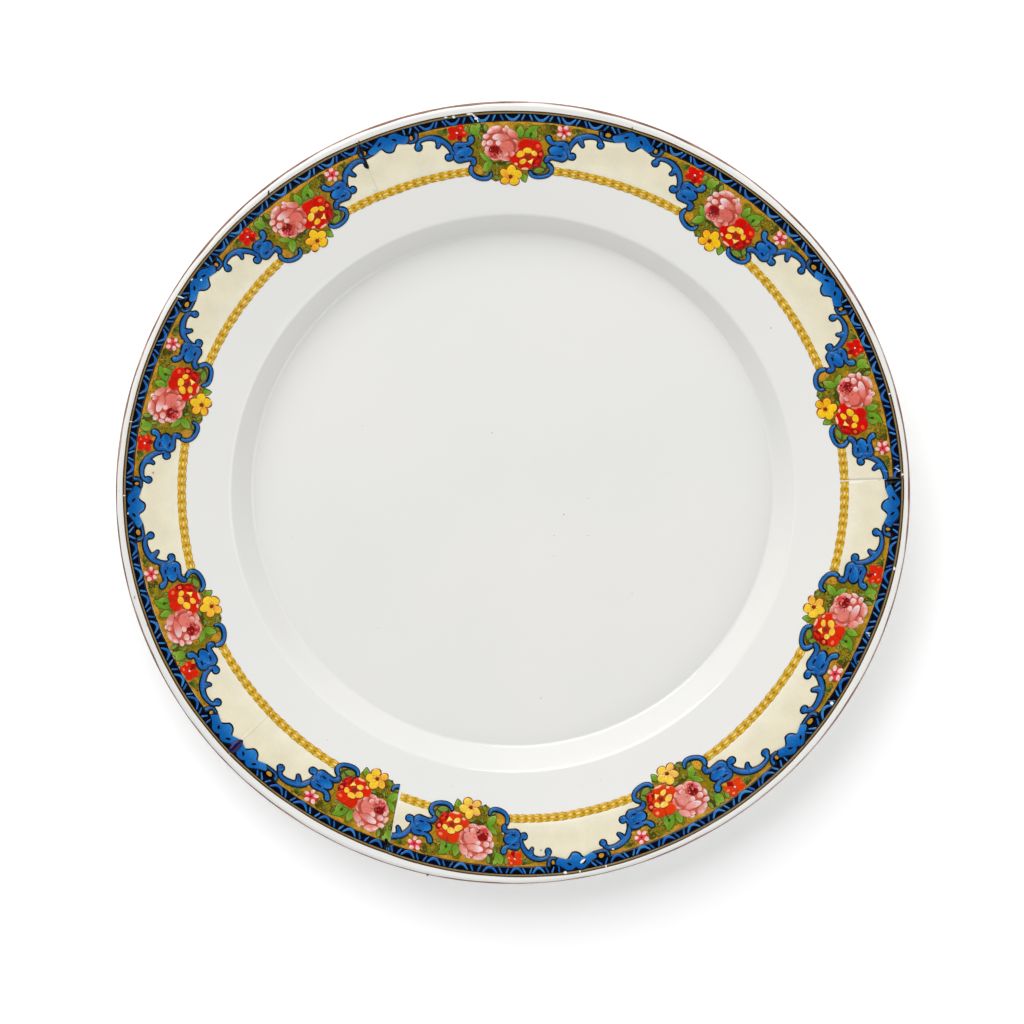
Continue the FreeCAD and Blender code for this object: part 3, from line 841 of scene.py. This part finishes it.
def draw_panel(sheet, u):
    """The cream panel from under the arms down to the rope."""
    top = [(-24.0, 14.6), (-20.0, 13.4), (-18.7, 11.0), (-17.6, 8.3), (-15.6, 6.4), (-12.0, 5.3),
           (-9.5, 5.7), (-6.0, 4.6), (-3.6, 3.9), (0.0, 4.4), (3.6, 3.9), (6.0, 4.6), (8.6, 5.7),
           (12.0, 5.3), (15.6, 6.7), (17.4, 8.6), (18.2, 11.0), (20.0, 13.4), (23.8, 14.6)]
    upper = flowing(top, 1.0) + (u, 0.0)
    lower = np.column_stack([upper[:, 0], np.full(len(upper), PANEL_FOOT)])
    low = 0.5 * INK["cream"] + 0.5 * linear("EFEADB")
    sheet.between(lower, upper, 1, [low, INK["cream"], INK["cream"]], columns=6)


def draw_rope(sheet, u):
    """The plaited gold rope under a panel: a wavy band, with a bright link every three millimetres."""
    along = np.arange(-ROPE_REACH, ROPE_REACH, 0.6) + u
    beat = 0.10 * np.sin(along * 2.1) + 0.06 * np.sin(along * 0.83 + 2.0)
    foot, top = np.column_stack([along, ROPE_FOOT + beat]), np.column_stack([along, ROPE_TOP - 0.7 * beat])
    dusk = 0.9 * INK["rope"]
    sheet.between(foot, top, 2, [dusk, INK["rope"], INK["rope"], dusk], columns=4)
    for x in np.arange(1.2 - ROPE_REACH, ROPE_REACH - 0.8, ROPE_LINK) + u:
        shake = rng.uniform(-0.15, 0.15, 6)
        sheet.oval(x + 1.5 + shake[0], 17.85, 0.55, 0.42, 10.0, 3, "rope_dark", dome=0.006)
        sheet.oval(x + 1.45, 16.85 + shake[1], 0.3, 0.18, 60.0, 3, "rope_dark", dome=0.006)
        sheet.oval(x + 1.5, 18.85 + shake[2], 0.32, 0.18, 120.0, 3, "rope_dark", dome=0.006)
        sheet.oval(x + shake[3], 17.95, 0.85 + shake[4], 0.38, 0.0, 4, "rope_pale", edge="rope", dome=0.01)
        sheet.oval(x + 0.3 + shake[5], 16.95, 0.7, 0.22, -12.0, 4, "rope_pale", edge="rope", dome=0.008)
        sheet.oval(x + 0.2 - shake[5], 18.85, 0.7, 0.2, 10.0, 4, "rope_pale", edge="rope", dome=0.008)


def draw_ground(sheet, u):
    """Ochre ground of a posy: it reaches from the band down to the arms, the clasps and the lower curls."""
    foot = [(-28.5, 4.9), (-24.5, 5.3), (-21.6, 6.5), (-19.4, 8.6), (-18.4, 11.0), (-17.4, 13.0),
            (-12.6, 14.2), (-13.3, 17.6), (-12.3, 19.8), (-9.0, 20.8), (-6.6, 19.9), (-5.2, 20.6),
            (-2.0, 19.0), (2.0, 19.0), (4.6, 19.8), (6.6, 19.4), (9.0, 20.2), (12.0, 19.6), (13.5, 17.6),
            (12.4, 15.0), (17.4, 13.0), (18.4, 11.0), (19.4, 8.6), (21.6, 6.5), (24.5, 5.3), (28.5, 4.9)]
    head = [-28.5, -24.5, -21.6, -19.4, -18.0, -16.0, -13.5, -12.5, -11.5, -9.0, -7.0, -5.2, -2.0, 2.0, 4.6,
            7.0, 9.0, 11.0, 12.2, 13.5, 16.0, 18.0, 19.4, 21.6, 24.5, 28.5]
    both = flowing(np.column_stack([head, np.full(len(head), 2.9), np.array(foot)]), 1.2)
    sheet.between(both[:, 2:] + (u, 0.0), both[:, :2] + (u, 0.0), 1,
                  [INK["ochre"], INK["ochre"], INK["gold_ochre"]], columns=8)
    for x, v, wide, high, turn, ink in (
            (-3.2, 17.6, 4.8, 2.7, 0.0, "olive"), (10.4, 5.4, 3.0, 2.3, 0.0, "olive"),
            (4.2, 19.6, 1.9, 1.5, 0.0, "olive"), (-5.2, 19.9, 2.6, 1.8, 10.0, "olive"),
            (9.6, 17.4, 3.0, 1.9, -10.0, "dark_olive"), (-9.9, 6.8, 2.0, 3.4, 10.0, "olive"),
            (-2.8, 16.2, 4.0, 1.2, 0.0, "dark_olive"), (-8.2, 14.6, 2.6, 3.6, 20.0, "olive"),
            (-11.0, 11.2, 1.1, 3.2, 0.0, "olive"), (5.4, 6.4, 4.0, 2.6, -10.0, "olive"),
            (-7.6, 19.4, 2.2, 0.9, 0.0, "dark_olive"), (10.9, 14.8, 1.0, 2.4, 0.0, "olive"),
            (12.4, 5.0, 2.0, 1.8, 0.0, "dark_olive"), (-20.2, 4.6, 2.0, 1.1, 10.0, "olive"),
            (20.0, 4.6, 2.2, 1.1, -10.0, "olive"), (-13.2, 5.6, 1.6, 2.4, 0.0, "olive"),
            (-8.4, 5.2, 1.9, 2.0, 0.0, "dark_olive"), (-10.9, 17.6, 1.5, 2.0, 0.0, "gold_ochre"),
            (2.6, 5.6, 2.0, 2.2, 0.0, "olive"), (-19.0, 7.2, 1.4, 1.2, 30.0, "olive"),
            (4.6, 3.9, 1.5, 0.6, 0.0, "gold_ochre"), (-2.6, 3.7, 2.8, 0.5, 0.0, "gold_ochre")):
        sheet.oval(u + x, v, wide, high, turn, 2, ink, dome=0.004)
    for x, v, wide, high, count in ((-3.4, 17.8, 4.6, 2.4, 44), (10.8, 5.4, 3.0, 2.2, 40),
                                    (9.6, 17.6, 2.8, 1.7, 18), (-9.9, 7.6, 1.9, 3.4, 26),
                                    (-6.6, 19.4, 2.6, 1.3, 16), (20.5, 4.6, 3.2, 1.2, 14),
                                    (-20.5, 4.8, 3.0, 1.2, 14), (4.4, 19.6, 1.6, 1.6, 10),
                                    (5.0, 6.4, 3.8, 2.4, 16), (-8.4, 14.4, 2.6, 3.4, 16),
                                    (10.9, 13.6, 1.0, 3.2, 10)):
        sheet.specks(u + x, v, wide, high, count, 3,
                     ("dark_olive", "olive", "moss", "umber", "dark_olive", "gold_ochre"), 0.26)


def draw_foliage(sheet, u):
    """Leaves round the posy."""
    for start, stop, width, ink, tip in (
            ((-10.0, 7.0), (-11.6, 3.2), 1.6, "leaf", "leaf_pale"),
            ((-10.0, 4.8), (-9.1, 3.1), 0.7, "leaf_pale", "leaf_pale"),
            ((-7.3, 6.0), (-7.7, 3.3), 0.6, "moss", "leaf_pale"),
            ((-13.3, 6.0), (-13.2, 3.3), 0.6, "moss", "leaf_pale"),
            ((2.8, 8.3), (2.9, 4.2), 1.25, "leaf", "leaf_pale"),
            ((4.0, 8.0), (8.2, 3.9), 1.35, "leaf", "leaf"),
            ((6.6, 8.7), (7.7, 5.4), 0.95, "leaf", "leaf_pale"),
            ((-6.6, 15.4), (-10.0, 12.4), 0.95, "leaf", "leaf_pale"),
            ((-6.2, 15.1), (-9.4, 18.5), 1.4, "leaf", "leaf_pale"),
            ((7.5, 18.5), (11.3, 17.6), 0.95, "moss", "leaf"),
            ((10.2, 15.0), (11.4, 17.2), 0.75, "leaf", "moss"),
            ((3.9, 19.3), (5.1, 22.1), 1.1, "leaf", "leaf_pale"),
            ((-4.1, 17.5), (-5.0, 15.9), 0.4, "moss", "leaf_pale"),
            ((-6.0, 19.8), (-4.0, 21.2), 0.6, "moss", "moss"),
            ((-2.0, 16.3), (0.2, 15.9), 0.4, "moss", "moss"),
            ((-9.0, 8.6), (-9.8, 6.4), 0.4, "moss", "leaf_pale"),
            ((-9.4, 19.5), (-7.6, 18.9), 0.35, "moss", "moss"),
            ((8.4, 8.9), (9.2, 7.7), 0.5, "moss", "leaf_pale"),
            ((19.4, 3.8), (21.2, 5.2), 0.5, "leaf_dark", "moss"),
            ((-18.8, 3.5), (-20.8, 5.0), 0.5, "leaf_dark", "moss")):
        sheet.leaf((start[0] + u, start[1]), (stop[0] + u, stop[1]), width, 4, ink, tip)
    for x, v, way in ((8.6, 5.2, 1.0), (11.0, 4.2, 1.0), (12.6, 5.0, 1.0), (10.4, 7.0, -1.0),
                      (18.9, 4.4, 1.0), (20.3, 5.6, -1.0), (-19.6, 4.4, -1.0), (-3.6, 18.4, 1.0),
                      (-1.6, 17.4, -1.0), (-9.6, 8.2, -1.0), (10.2, 17.6, 1.0), (9.4, 12.2, -1.0)):
        tendril = [(0.0, 0.9, 0.06), (-0.7, 0.2, 0.12), (-0.1, -0.6, 0.14),
                   (0.6, -0.1, 0.12), (0.2, 0.3, 0.08)]
        sheet.stroke([(u + x + way * a, v + b, w) for a, b, w in tendril], 5, "dark_olive", dome=0.006)
    sheet.oval(u + 6.1, 6.9, 0.5, 0.7, 20.0, 6, "leaf_dark")
    sheet.oval(u - 5.3, 21.4, 0.6, 0.35, 0.0, 4, "dark_olive")


def draw_rose(sheet, u):
    """The pink rose: a deep base, pale-tipped petals laid over each other, and a crimson heart."""
    base = [(-5.0, 4.3), (-3.0, 4.7), (-1.2, 4.5), (0.3, 6.0), (1.9, 7.1), (2.1, 8.4), (2.9, 9.8),
            (2.6, 12.0), (1.2, 13.1), (0.2, 14.8), (-1.8, 15.4), (-4.2, 15.3), (-6.3, 14.4), (-8.0, 12.9),
            (-8.7, 11.0), (-9.0, 9.6), (-8.4, 7.2), (-7.0, 6.2)]
    sheet.blob(np.array(base) + (u, 0.0), 6, "rose_deep", edge="rose_deep", step=0.8)
    for x, v, long, short, turn, toward, ink, tip, level in (
            (-4.9, 5.4, 2.0, 0.95, -18, -95, "rose", "rose_pale", 7),
            (-6.2, 5.9, 0.9, 0.55, -35, -120, "rose_light", "rose_white", 8),
            (-4.6, 4.9, 1.0, 0.45, -10, -90, "rose_light", "rose_white", 8),
            (-1.9, 5.8, 0.7, 0.5, 60, -90, "rose", "rose_white", 7),
            (-1.1, 5.2, 0.85, 0.6, 70, -90, "rose_light", "rose_white", 7),
            (0.5, 6.8, 1.8, 0.95, 42, -140, "rose", "rose_pale", 8),
            (-7.5, 7.3, 0.95, 0.72, 0, 180, "rose_light", "rose_white", 7),
            (-8.3, 9.4, 1.0, 0.6, -75, 180, "rose_light", "rose_white", 7),
            (-3.0, 7.8, 2.6, 1.05, 5, 180, "rose", "rose_white", 8),
            (-6.5, 9.4, 0.95, 0.85, 0, 180, "rose_light", "rose_white", 8),
            (-1.5, 10.6, 2.5, 1.75, 28, -20, "rose", "rose", 8),
            (-3.8, 9.6, 0.8, 0.75, 0, 180, "rose_pale", "rose_white", 10),
            (-7.4, 11.2, 0.9, 0.75, 60, 180, "rose_pale", "rose_pale", 8),
            (-7.4, 12.8, 1.3, 0.55, 55, 180, "rose", "rose_pale", 8),
            (-1.9, 13.0, 1.0, 0.9, 0, 60, "rose", "rose_pale", 9),
            (0.3, 13.2, 0.85, 0.75, -30, 0, "rose", "rose_pale", 9),
            (-1.6, 14.7, 1.4, 0.62, 0, 120, "rose", "rose_pale", 8),
            (-3.4, 13.9, 1.0, 0.85, 0, 60, "rose", "rose_pale", 8),
            (-5.1, 14.3, 1.4, 0.7, 10, 120, "rose", "rose_pale", 7),
            (-5.3, 12.4, 2.3, 1.9, 20, 0, "rose_red", "rose_deep", 8),
            (-5.2, 11.5, 1.7, 1.2, 10, 0, "crimson", "crimson", 9)):
        sheet.oval(u + x, v, 1.18 * long, 1.18 * short, turn, level, ink, edge="rose_deep", tip=tip,
                   toward=toward)
    sheet.stroke([(u + 1.0, 8.9, 0.3), (u + 2.1, 9.7, 0.62), (u + 2.3, 10.9, 0.62), (u + 1.7, 12.3, 0.3)],
                 8, "rose", edge="rose_deep", ends=("rose_white", "rose"))
    sheet.stroke([(u - 3.4, 11.5, 0.1), (u - 2.6, 11.0, 0.2), (u - 1.9, 11.5, 0.08)], 11, "rose_deep")
    for points in ([(-8.2, 8.4, 0.05), (-7.2, 8.5, 0.12), (-6.3, 7.9, 0.05)],
                   [(-5.8, 6.7, 0.05), (-4.0, 6.5, 0.14), (-1.8, 6.9, 0.06)],
                   [(-4.6, 8.9, 0.06), (-2.4, 9.2, 0.14), (-0.3, 8.6, 0.06)],
                   [(0.6, 8.2, 0.06), (1.2, 9.8, 0.16), (1.0, 12.2, 0.08)],
                   [(-3.4, 12.6, 0.06), (-2.6, 13.6, 0.12), (-2.8, 15.0, 0.06)],
                   [(-0.9, 12.3, 0.06), (-0.5, 13.4, 0.13), (-0.6, 14.8, 0.05)],
                   [(-8.4, 10.4, 0.05), (-7.3, 10.3, 0.12), (-6.6, 10.8, 0.05)],
                   [(-1.4, 4.7, 0.05), (-0.9, 5.6, 0.13), (-0.9, 6.6, 0.06)],
                   [(-6.9, 13.6, 0.05), (-5.9, 13.9, 0.1), (-5.2, 14.9, 0.05)]):
        sheet.stroke([(u + x, v, w) for x, v, w in points], 11, "rose_line", dome=0.004)
    sheet.specks(u - 5.0, 12.3, 2.0, 1.7, 22, 11,
                 ("crimson", "crimson_dark", "rose", "rose_deep", "crimson_dark"), 0.3)
    sheet.specks(u - 4.4, 14.0, 1.8, 0.9, 8, 10, ("rose_deep", "crimson", "rose_pale"), 0.24)


def draw_red_flower(sheet, u):
    """The red flower with its yellow inner petals."""
    sheet.oval(u + 6.0, 12.7, 4.2, 4.3, 0.0, 8, "red", edge="red_dark")
    for x, v, long, short, turn, ink in (
            (4.2, 10.3, 2.1, 1.9, 0, "red"), (7.6, 10.6, 2.2, 1.9, 20, "red"),
            (9.1, 13.0, 1.5, 1.8, 0, "red_dark"), (8.4, 15.6, 2.0, 1.5, -40, "red_dark"),
            (4.5, 16.7, 2.3, 1.5, 0, "red"), (1.5, 14.8, 2.0, 1.8, 10, "red")):
        sheet.oval(u + x, v, 1.08 * long, 1.08 * short, turn, 9 if ink == "red" else 8, ink, edge=ink)
    for points in ([(6.0, 8.7, 0.1), (5.9, 9.8, 0.14), (5.6, 10.9, 0.1)],
                   [(2.9, 12.0, 0.1), (2.6, 13.4, 0.12), (2.7, 14.6, 0.1)],
                   [(8.2, 11.9, 0.1), (9.0, 11.7, 0.14), (10.0, 11.6, 0.1)],
                   [(6.5, 16.6, 0.1), (6.7, 17.3, 0.12), (6.8, 17.8, 0.1)],
                   [(2.6, 16.0, 0.1), (2.3, 16.8, 0.12), (2.4, 17.2, 0.1)],
                   [(8.6, 14.2, 0.12), (9.3, 14.4, 0.14), (9.9, 14.6, 0.1)]):
        sheet.stroke([(u + x, v, w) for x, v, w in points], 11, "red_dark", dome=0.004)
    for x, v, long, short, turn, ink in (
            (8.4, 10.4, 0.75, 0.6, 0, "orange"), (9.4, 12.9, 0.65, 0.6, 0, "orange"),
            (1.6, 16.3, 0.7, 0.4, 20, "peach"), (8.2, 16.4, 0.7, 0.35, -20, "red"),
            (4.6, 17.75, 1.4, 0.42, 0, "peach"), (8.6, 15.3, 0.9, 0.6, -50, "red")):
        sheet.oval(u + x, v, long, short, turn, 11, ink)
    for x, v, long, short, turn in ((5.25, 12.0, 1.45, 1.0, 0), (3.0, 13.2, 1.5, 1.05, -30),
                                    (7.4, 12.8, 1.0, 0.9, 40), (3.8, 15.5, 1.25, 0.85, -20)):
        sheet.oval(u + x, v, 1.22 * long, 1.25 * short, turn, 11, "red_dark", edge="red_dark", dome=0.01)
        sheet.oval(u + x, v, 1.04 * long, 1.04 * short, turn, 13, "yellow", edge="amber",
                   tip=("yellow", "yellow_pale", "amber")[rng.integers(3)],
                   toward=rng.uniform(0.0, 360.0))
    wedge = np.array([(5.2, 15.4), (6.2, 15.0), (7.2, 14.3), (7.0, 15.4), (6.6, 16.3), (6.1, 15.9)])
    sheet.blob(wedge + (u, 0.0), 13, "yellow_pale", edge="amber")
    sheet.oval(u + 5.35, 14.05, 1.0, 0.9, 0.0, 12, "rust", edge="crimson")


def draw_yellow_flower(sheet, u):
    """The lowest flower, with five yellow petals."""
    sheet.oval(u - 0.1, 20.2, 1.6, 1.5, 0.0, 10, "amber", edge="rust")
    for x, v, long, short, turn, ink in ((0.1, 18.3, 1.5, 1.35, 90, "yellow"),
                                         (-2.3, 19.2, 1.35, 1.1, 20, "amber"),
                                         (2.2, 19.6, 1.4, 1.2, 20, "yellow"),
                                         (-2.2, 21.6, 1.3, 1.0, -10, "amber"),
                                         (1.1, 21.9, 1.5, 1.05, -15, "yellow")):
        sheet.oval(u + x, v, 1.2 * long + 0.2, 1.2 * short + 0.2, turn, 8, "rust", edge="rust", dome=0.01)
        sheet.oval(u + x, v, 1.2 * long, 1.2 * short, turn, 11, ink, edge="amber", tip="yellow",
                   toward=rng.uniform(0.0, 360.0))
        sheet.stroke([(u + 0.3 * x - 0.1, 20.3 + 0.3 * (v - 20.3), 0.12),
                      (u + 0.65 * x, 20.3 + 0.65 * (v - 20.3), 0.05)], 13, "rust", dome=0.008)
    sheet.oval(u - 0.2, 20.3, 0.8, 0.75, 0.0, 13, "rust", edge="crimson")


def draw_blossoms(sheet, u):
    """The small red flower at a posy's left shoulder and the pink one at its right."""
    sheet.oval(u - 16.0, 5.4, 2.3, 2.1, 0.0, 5, "red_dark")
    for x, v, long, short, turn, ink in ((-17.4, 4.5, 1.4, 1.2, 20, "red"),
                                         (-15.3, 4.2, 1.5, 1.1, -20, "red"),
                                         (-14.6, 5.9, 1.3, 1.2, 60, "red"),
                                         (-17.5, 6.4, 1.4, 1.1, -30, "red"),
                                         (-15.5, 7.0, 1.1, 0.9, 70, "red_dark"),
                                         (-14.4, 7.9, 0.9, 0.6, 60, "gold_ochre")):
        sheet.oval(u + x, v, 1.08 * long, 1.08 * short, turn, 6, ink,
                   edge="red" if ink == "red" else "red_dark")
    for x, v, size, ink in ((-15.0, 4.0, 0.5, "orange"), (-14.2, 5.6, 0.5, "orange"),
                            (-16.2, 5.4, 0.36, "rose_white")):
        sheet.oval(u + x, v, size, 0.8 * size, 30.0, 9, ink)
    sheet.oval(u + 15.6, 5.2, 2.4, 2.1, 0.0, 4, "rust", edge="gold_ochre")
    sheet.oval(u + 15.7, 5.2, 1.9, 1.6, 0.0, 5, "rose_red", edge="rose_red")
    for x, v, long, short, turn in ((14.5, 4.4, 0.85, 0.72, 60), (16.3, 3.95, 0.8, 0.66, -20),
                                    (17.3, 5.7, 0.7, 0.62, 0), (16.0, 7.0, 0.8, 0.6, 100),
                                    (14.6, 6.3, 0.85, 0.65, 160)):
        sheet.oval(u + x, v, long, short, turn, 7, "rose_pale", edge="rose", tip="rose_white",
                   toward=rng.uniform(0.0, 360.0))
    sheet.oval(u + 15.8, 5.4, 0.4, 0.38, 0.0, 8, "crimson")
    for x, v in ((14.4, 7.9), (17.6, 7.4)):
        sheet.oval(u + x, v, 0.8, 0.5, 30.0, 4, "gold_ochre")


def draw_clasps(sheet, u):
    """The blue clasps at a posy's sides and the curls under it."""
    curls = [
        [(-13.25, 16.7, 0.42), (-13.45, 18.0, 0.48), (-12.6, 19.35, 0.46), (-11.0, 20.3, 0.46),
         (-9.2, 20.7, 0.46), (-7.8, 20.5, 0.42), (-7.0, 19.8, 0.32), (-6.85, 19.1, 0.22)],
        [(12.3, 15.9, 0.32), (13.3, 16.8, 0.48), (13.55, 17.9, 0.46), (12.8, 19.1, 0.42),
         (11.3, 19.85, 0.42), (9.0, 20.2, 0.42), (7.2, 19.8, 0.4), (6.4, 18.8, 0.3)],
    ]
    strokes = [
        [(-12.15, 7.75, 0.78), (-12.45, 8.6, 0.62), (-13.6, 9.2, 0.42), (-15.2, 9.0, 0.42),
         (-16.7, 8.95, 0.5), (-17.55, 9.9, 0.5), (-17.1, 10.9, 0.4)],
        [(-17.1, 11.9, 0.4), (-17.6, 12.9, 0.52), (-16.8, 13.9, 0.52), (-15.0, 13.95, 0.42),
         (-13.3, 13.85, 0.45), (-12.2, 14.4, 0.6), (-12.3, 15.3, 0.66)],
        [(11.5, 7.7, 0.68), (12.2, 8.7, 0.52), (13.4, 9.2, 0.42), (15.0, 8.95, 0.42), (16.7, 8.9, 0.5),
         (17.5, 9.8, 0.5), (17.0, 10.8, 0.4)],
        [(17.0, 11.9, 0.4), (17.4, 12.9, 0.52), (16.6, 13.8, 0.5), (15.0, 13.75, 0.42), (13.2, 13.6, 0.45),
         (12.0, 14.0, 0.55), (11.5, 14.8, 0.55)],
    ]
    bodies = [
        [(-17.3, 11.4), (-16.5, 10.7), (-15.2, 10.45), (-13.8, 10.1), (-12.7, 10.45), (-12.1, 11.45),
         (-12.7, 12.6), (-13.8, 13.1), (-15.2, 12.65), (-16.5, 12.3)],
        [(17.2, 11.4), (16.4, 10.6), (15.1, 10.4), (13.6, 10.0), (12.5, 10.4), (11.9, 11.4), (12.5, 12.5),
         (13.6, 12.95), (15.1, 12.5), (16.4, 12.2)],
    ]
    for points in curls:
        inner = [(u + x, v - 0.16, w) for x, v, w in points]
        sheet.stroke(inner, 6, "navy", grow=0.42 + SWELL)
        sheet.stroke([(u + x, v, w) for x, v, w in points], 6, "navy", grow=0.26 + SWELL)
        sheet.stroke([(u + x, v, w) for x, v, w in points], 9, "blue", edge="blue",
                     ends=("light_blue", "light_blue"), dome=0.03, grow=SWELL)
        sheet.stroke([(u + x, v - 0.08, 0.3 * w) for x, v, w in points[1:-1]], 11, "light_blue",
                     ends=("blue", "blue"))
    draw_outlined(sheet, [[(u + x, v, w) for x, v, w in s] for s in strokes],
                  [np.array(b) + (u, 0.0) for b in bodies], 0.5, 8)
    for x, top, foot, half in ((-14.6, 9.1, 10.8, 0.6), (-14.6, 12.6, 13.9, 0.6), (-17.35, 10.2, 12.7, 0.5),
                               (14.5, 9.0, 10.8, 0.6), (14.5, 12.5, 13.7, 0.6), (17.2, 10.1, 12.6, 0.5)):
        sheet.stroke([(u + x, top, half), (u + x, foot, half)], 10, "blue", edge="blue", dome=0.03)
    for x, v in ((-12.1, 7.9), (11.6, 7.9)):
        sheet.oval(u + x, v, 0.55, 0.5, 0.0, 12, "teal", edge="light_blue")
    for x, v, long in ((-15.9, 9.9, 1.0), (-15.7, 12.95, 0.95), (15.5, 9.8, 1.0), (15.5, 12.8, 0.95)):
        sheet.oval(u + x, v, 1.5, 0.8, 5.0, 12, "blue", edge="blue", dome=0.0)
        sheet.oval(u + x, v, long, 0.3, 5.0, 14, "navy", edge="navy", dome=0.0)


def find_along(strip, degrees):
    """How far along its length of print an angle is."""
    along, angles = place_table(strip)
    return np.interp(-np.asarray(degrees), -angles, along)


def draw_marks(sheet, number, strip):
    """Worn spots that show the glaze, stray ink, and the ink over a length's joins."""
    for owner, degrees, v, long, short, turn, ink in MARKS:
        if owner == number:
            sheet.oval(find_along(strip, degrees), v, long, short, turn, 15, ink, edge=ink, dome=0.004)
    for owner, places, ink in JOINS:
        if owner == number:
            level = 2 if ink == "cream" else 13
            sheet.stroke([(find_along(strip, degrees), v, half) for degrees, v, half in places], level, ink,
                         edge=ink, dome=0.0)


# ---------------------------------------------------------------- dressing the plate

glaze = make_glaze_material()
clay = make_clay_material()
gilt = make_gilt_material()
enamel = make_enamel_material("fired_enamel", 0.22, 0.14)
plain_enamel = make_enamel_material("fired_panel", 0.04, 0.14)
ochre_enamel = make_ground_material()

for name, material in (("plate_body", clay), ("base_glaze", glaze), ("outer_glaze", glaze),
                       ("gilt_edge_line", gilt), *((strip["node"], enamel) for strip in STRIPS)):
    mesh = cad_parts[name].data
    mesh.materials.clear()
    mesh.materials.append(material)

for make, material, slot, node in ((make_clay_body, clay, "fired_clay", "plate_body"),
                                   (make_base_glaze, glaze, "glaze", "base_glaze"),
                                   (make_outer_glaze, glaze, "glaze", "outer_glaze"),
                                   (make_gilt_line, gilt, "gilding", "gilt_edge_line")):
    piece = make(material)
    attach(piece, "root")
    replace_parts(piece, node)

POSY_PARTS = (("ground", draw_ground, ochre_enamel), ("foliage", draw_foliage, enamel),
              ("rose", draw_rose, enamel), ("red_flower", draw_red_flower, enamel),
              ("yellow_flower", draw_yellow_flower, enamel), ("blossoms", draw_blossoms, enamel),
              ("clasps", draw_clasps, enamel))
PANEL_PARTS = (("panel", draw_panel, plain_enamel), ("rope", draw_rope, enamel), ("arms", draw_arms, enamel))
for number, strip in enumerate(STRIPS, start=1):
    posies, leaves = len(strip["posies"]), len(strip["leaves"])
    for k in range(posies):
        for part, draw, material in POSY_PARTS:
            sheet = Sheet(rng.normal(0.0, POSY_STRAY, 2), strip["faded"][k])
            draw(sheet, k * REPEAT)
            fire(sheet, f"{part}_{number}_{k + 1}", strip, material)
    for k in range(leaves):
        for part, draw, material in PANEL_PARTS:
            sheet = Sheet(rng.normal(0.0, PANEL_STRAY, 2))
            draw(sheet, (k - 0.5) * REPEAT)
            fire(sheet, f"{part}_{number}_{k + 1}", strip, material)
    first, last = find_along(strip, (strip["start"][0] + OVERLAP, strip["stop"][0] - OVERLAP))
    band = Sheet()
    draw_band(band, first, last)
    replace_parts(fire(band, f"band_{number}", strip, plain_enamel, cut=False), strip["node"])
    lines = Sheet()
    draw_edge_lines(lines, first, last)
    fire(lines, f"edge_lines_{number}", strip, plain_enamel, cut=False)
    figures = Sheet()
    for k in range(-1, posies + 1):
        figures.shift = np.array([k * REPEAT, 0.0])
        draw_band_figures(figures)
    fire(figures, f"band_figures_{number}", strip, enamel)
    marks = Sheet()
    draw_marks(marks, number, strip)
    fire(marks, f"marks_{number}", strip, plain_enamel, cut=False)


# ---------------------------------------------------------------- floor, light and camera

floor_mesh = bpy.data.meshes.new("floor")
reach = 3.0
corners = [(reach * x, reach * y, 0.0) for x, y in ((-1, -1), (1, -1), (1, 1), (-1, 1))]
floor_mesh.from_pydata(corners, [], [(0, 1, 2, 3)])
floor = bpy.data.objects.new("floor", floor_mesh)
bpy.context.scene.collection.objects.link(floor)
paper, paper_shader = new_material("pale_glowing_paper", 0.9)
paper_shader.inputs["Base Color"].default_value = (0.93, 0.93, 0.93, 1.0)
# The paper glows faintly, though it is no lamp: painted light that lifts the plate's shadow on it.
paper_shader.inputs["Emission Color"].default_value = (1.0, 1.0, 1.0, 1.0)
paper_shader.inputs["Emission Strength"].default_value = 0.13
floor_mesh.materials.append(paper)
floor.location.z = -0.0002


def add_panel(name, place, aim, size, power):
    """A soft rectangular light at place, turned towards aim, in metres and watts."""
    lamp = bpy.data.lights.new(name, "AREA")
    lamp.shape = "RECTANGLE"
    lamp.size, lamp.size_y = size
    lamp.energy = power
    panel = bpy.data.objects.new(name, lamp)
    bpy.context.scene.collection.objects.link(panel)
    panel.location = place
    way = Vector(aim) - Vector(place)
    panel.rotation_euler = way.to_track_quat("-Z", "Y").to_euler()


world = bpy.context.scene.world or bpy.data.worlds.new("studio")
bpy.context.scene.world = world
world.use_nodes = True
sky = world.node_tree
gaze = sky.nodes.new("ShaderNodeTexCoord")
parts = sky.nodes.new("ShaderNodeSeparateXYZ")
shade = sky.nodes.new("ShaderNodeValToRGB")
shade.color_ramp.elements[0].position = 0.62
shade.color_ramp.elements[0].color = (0.85, 0.85, 0.85, 1.0)
shade.color_ramp.elements[1].position = 0.86
shade.color_ramp.elements[1].color = (0.06, 0.06, 0.06, 1.0)
sky.links.new(gaze.outputs["Generated"], parts.inputs["Vector"])
sky.links.new(parts.outputs["Z"], shade.inputs["Fac"])
sky.links.new(shade.outputs["Color"], sky.nodes["Background"].inputs["Color"])
sky.nodes["Background"].inputs["Strength"].default_value = 0.94
add_panel("key", (-0.52, 1.12, 1.15), (0.0, 0.0, 0.0), (1.45, 1.45), 26.6)
add_panel("fill", (0.9, -0.6, 1.0), (0.05, -0.05, 0.0), (1.2, 1.2), 6.0)

camera_data = bpy.data.cameras.new("camera")
camera = bpy.data.objects.new("camera", camera_data)
bpy.context.scene.collection.objects.link(camera)
camera_data.lens = 121.63
camera_data.sensor_width = 36.0
aim = Vector((-0.0003, -0.00545, 0.012))
distance = 1.1
elevation = math.radians(80.0)
camera.location = aim + distance * Vector((0.0, math.cos(elevation), math.sin(elevation)))
camera.rotation_euler = (elevation - math.radians(90.0), 0.0, 0.0)
bpy.context.scene.camera = camera
bpy.context.scene.view_settings.view_transform = "Standard"
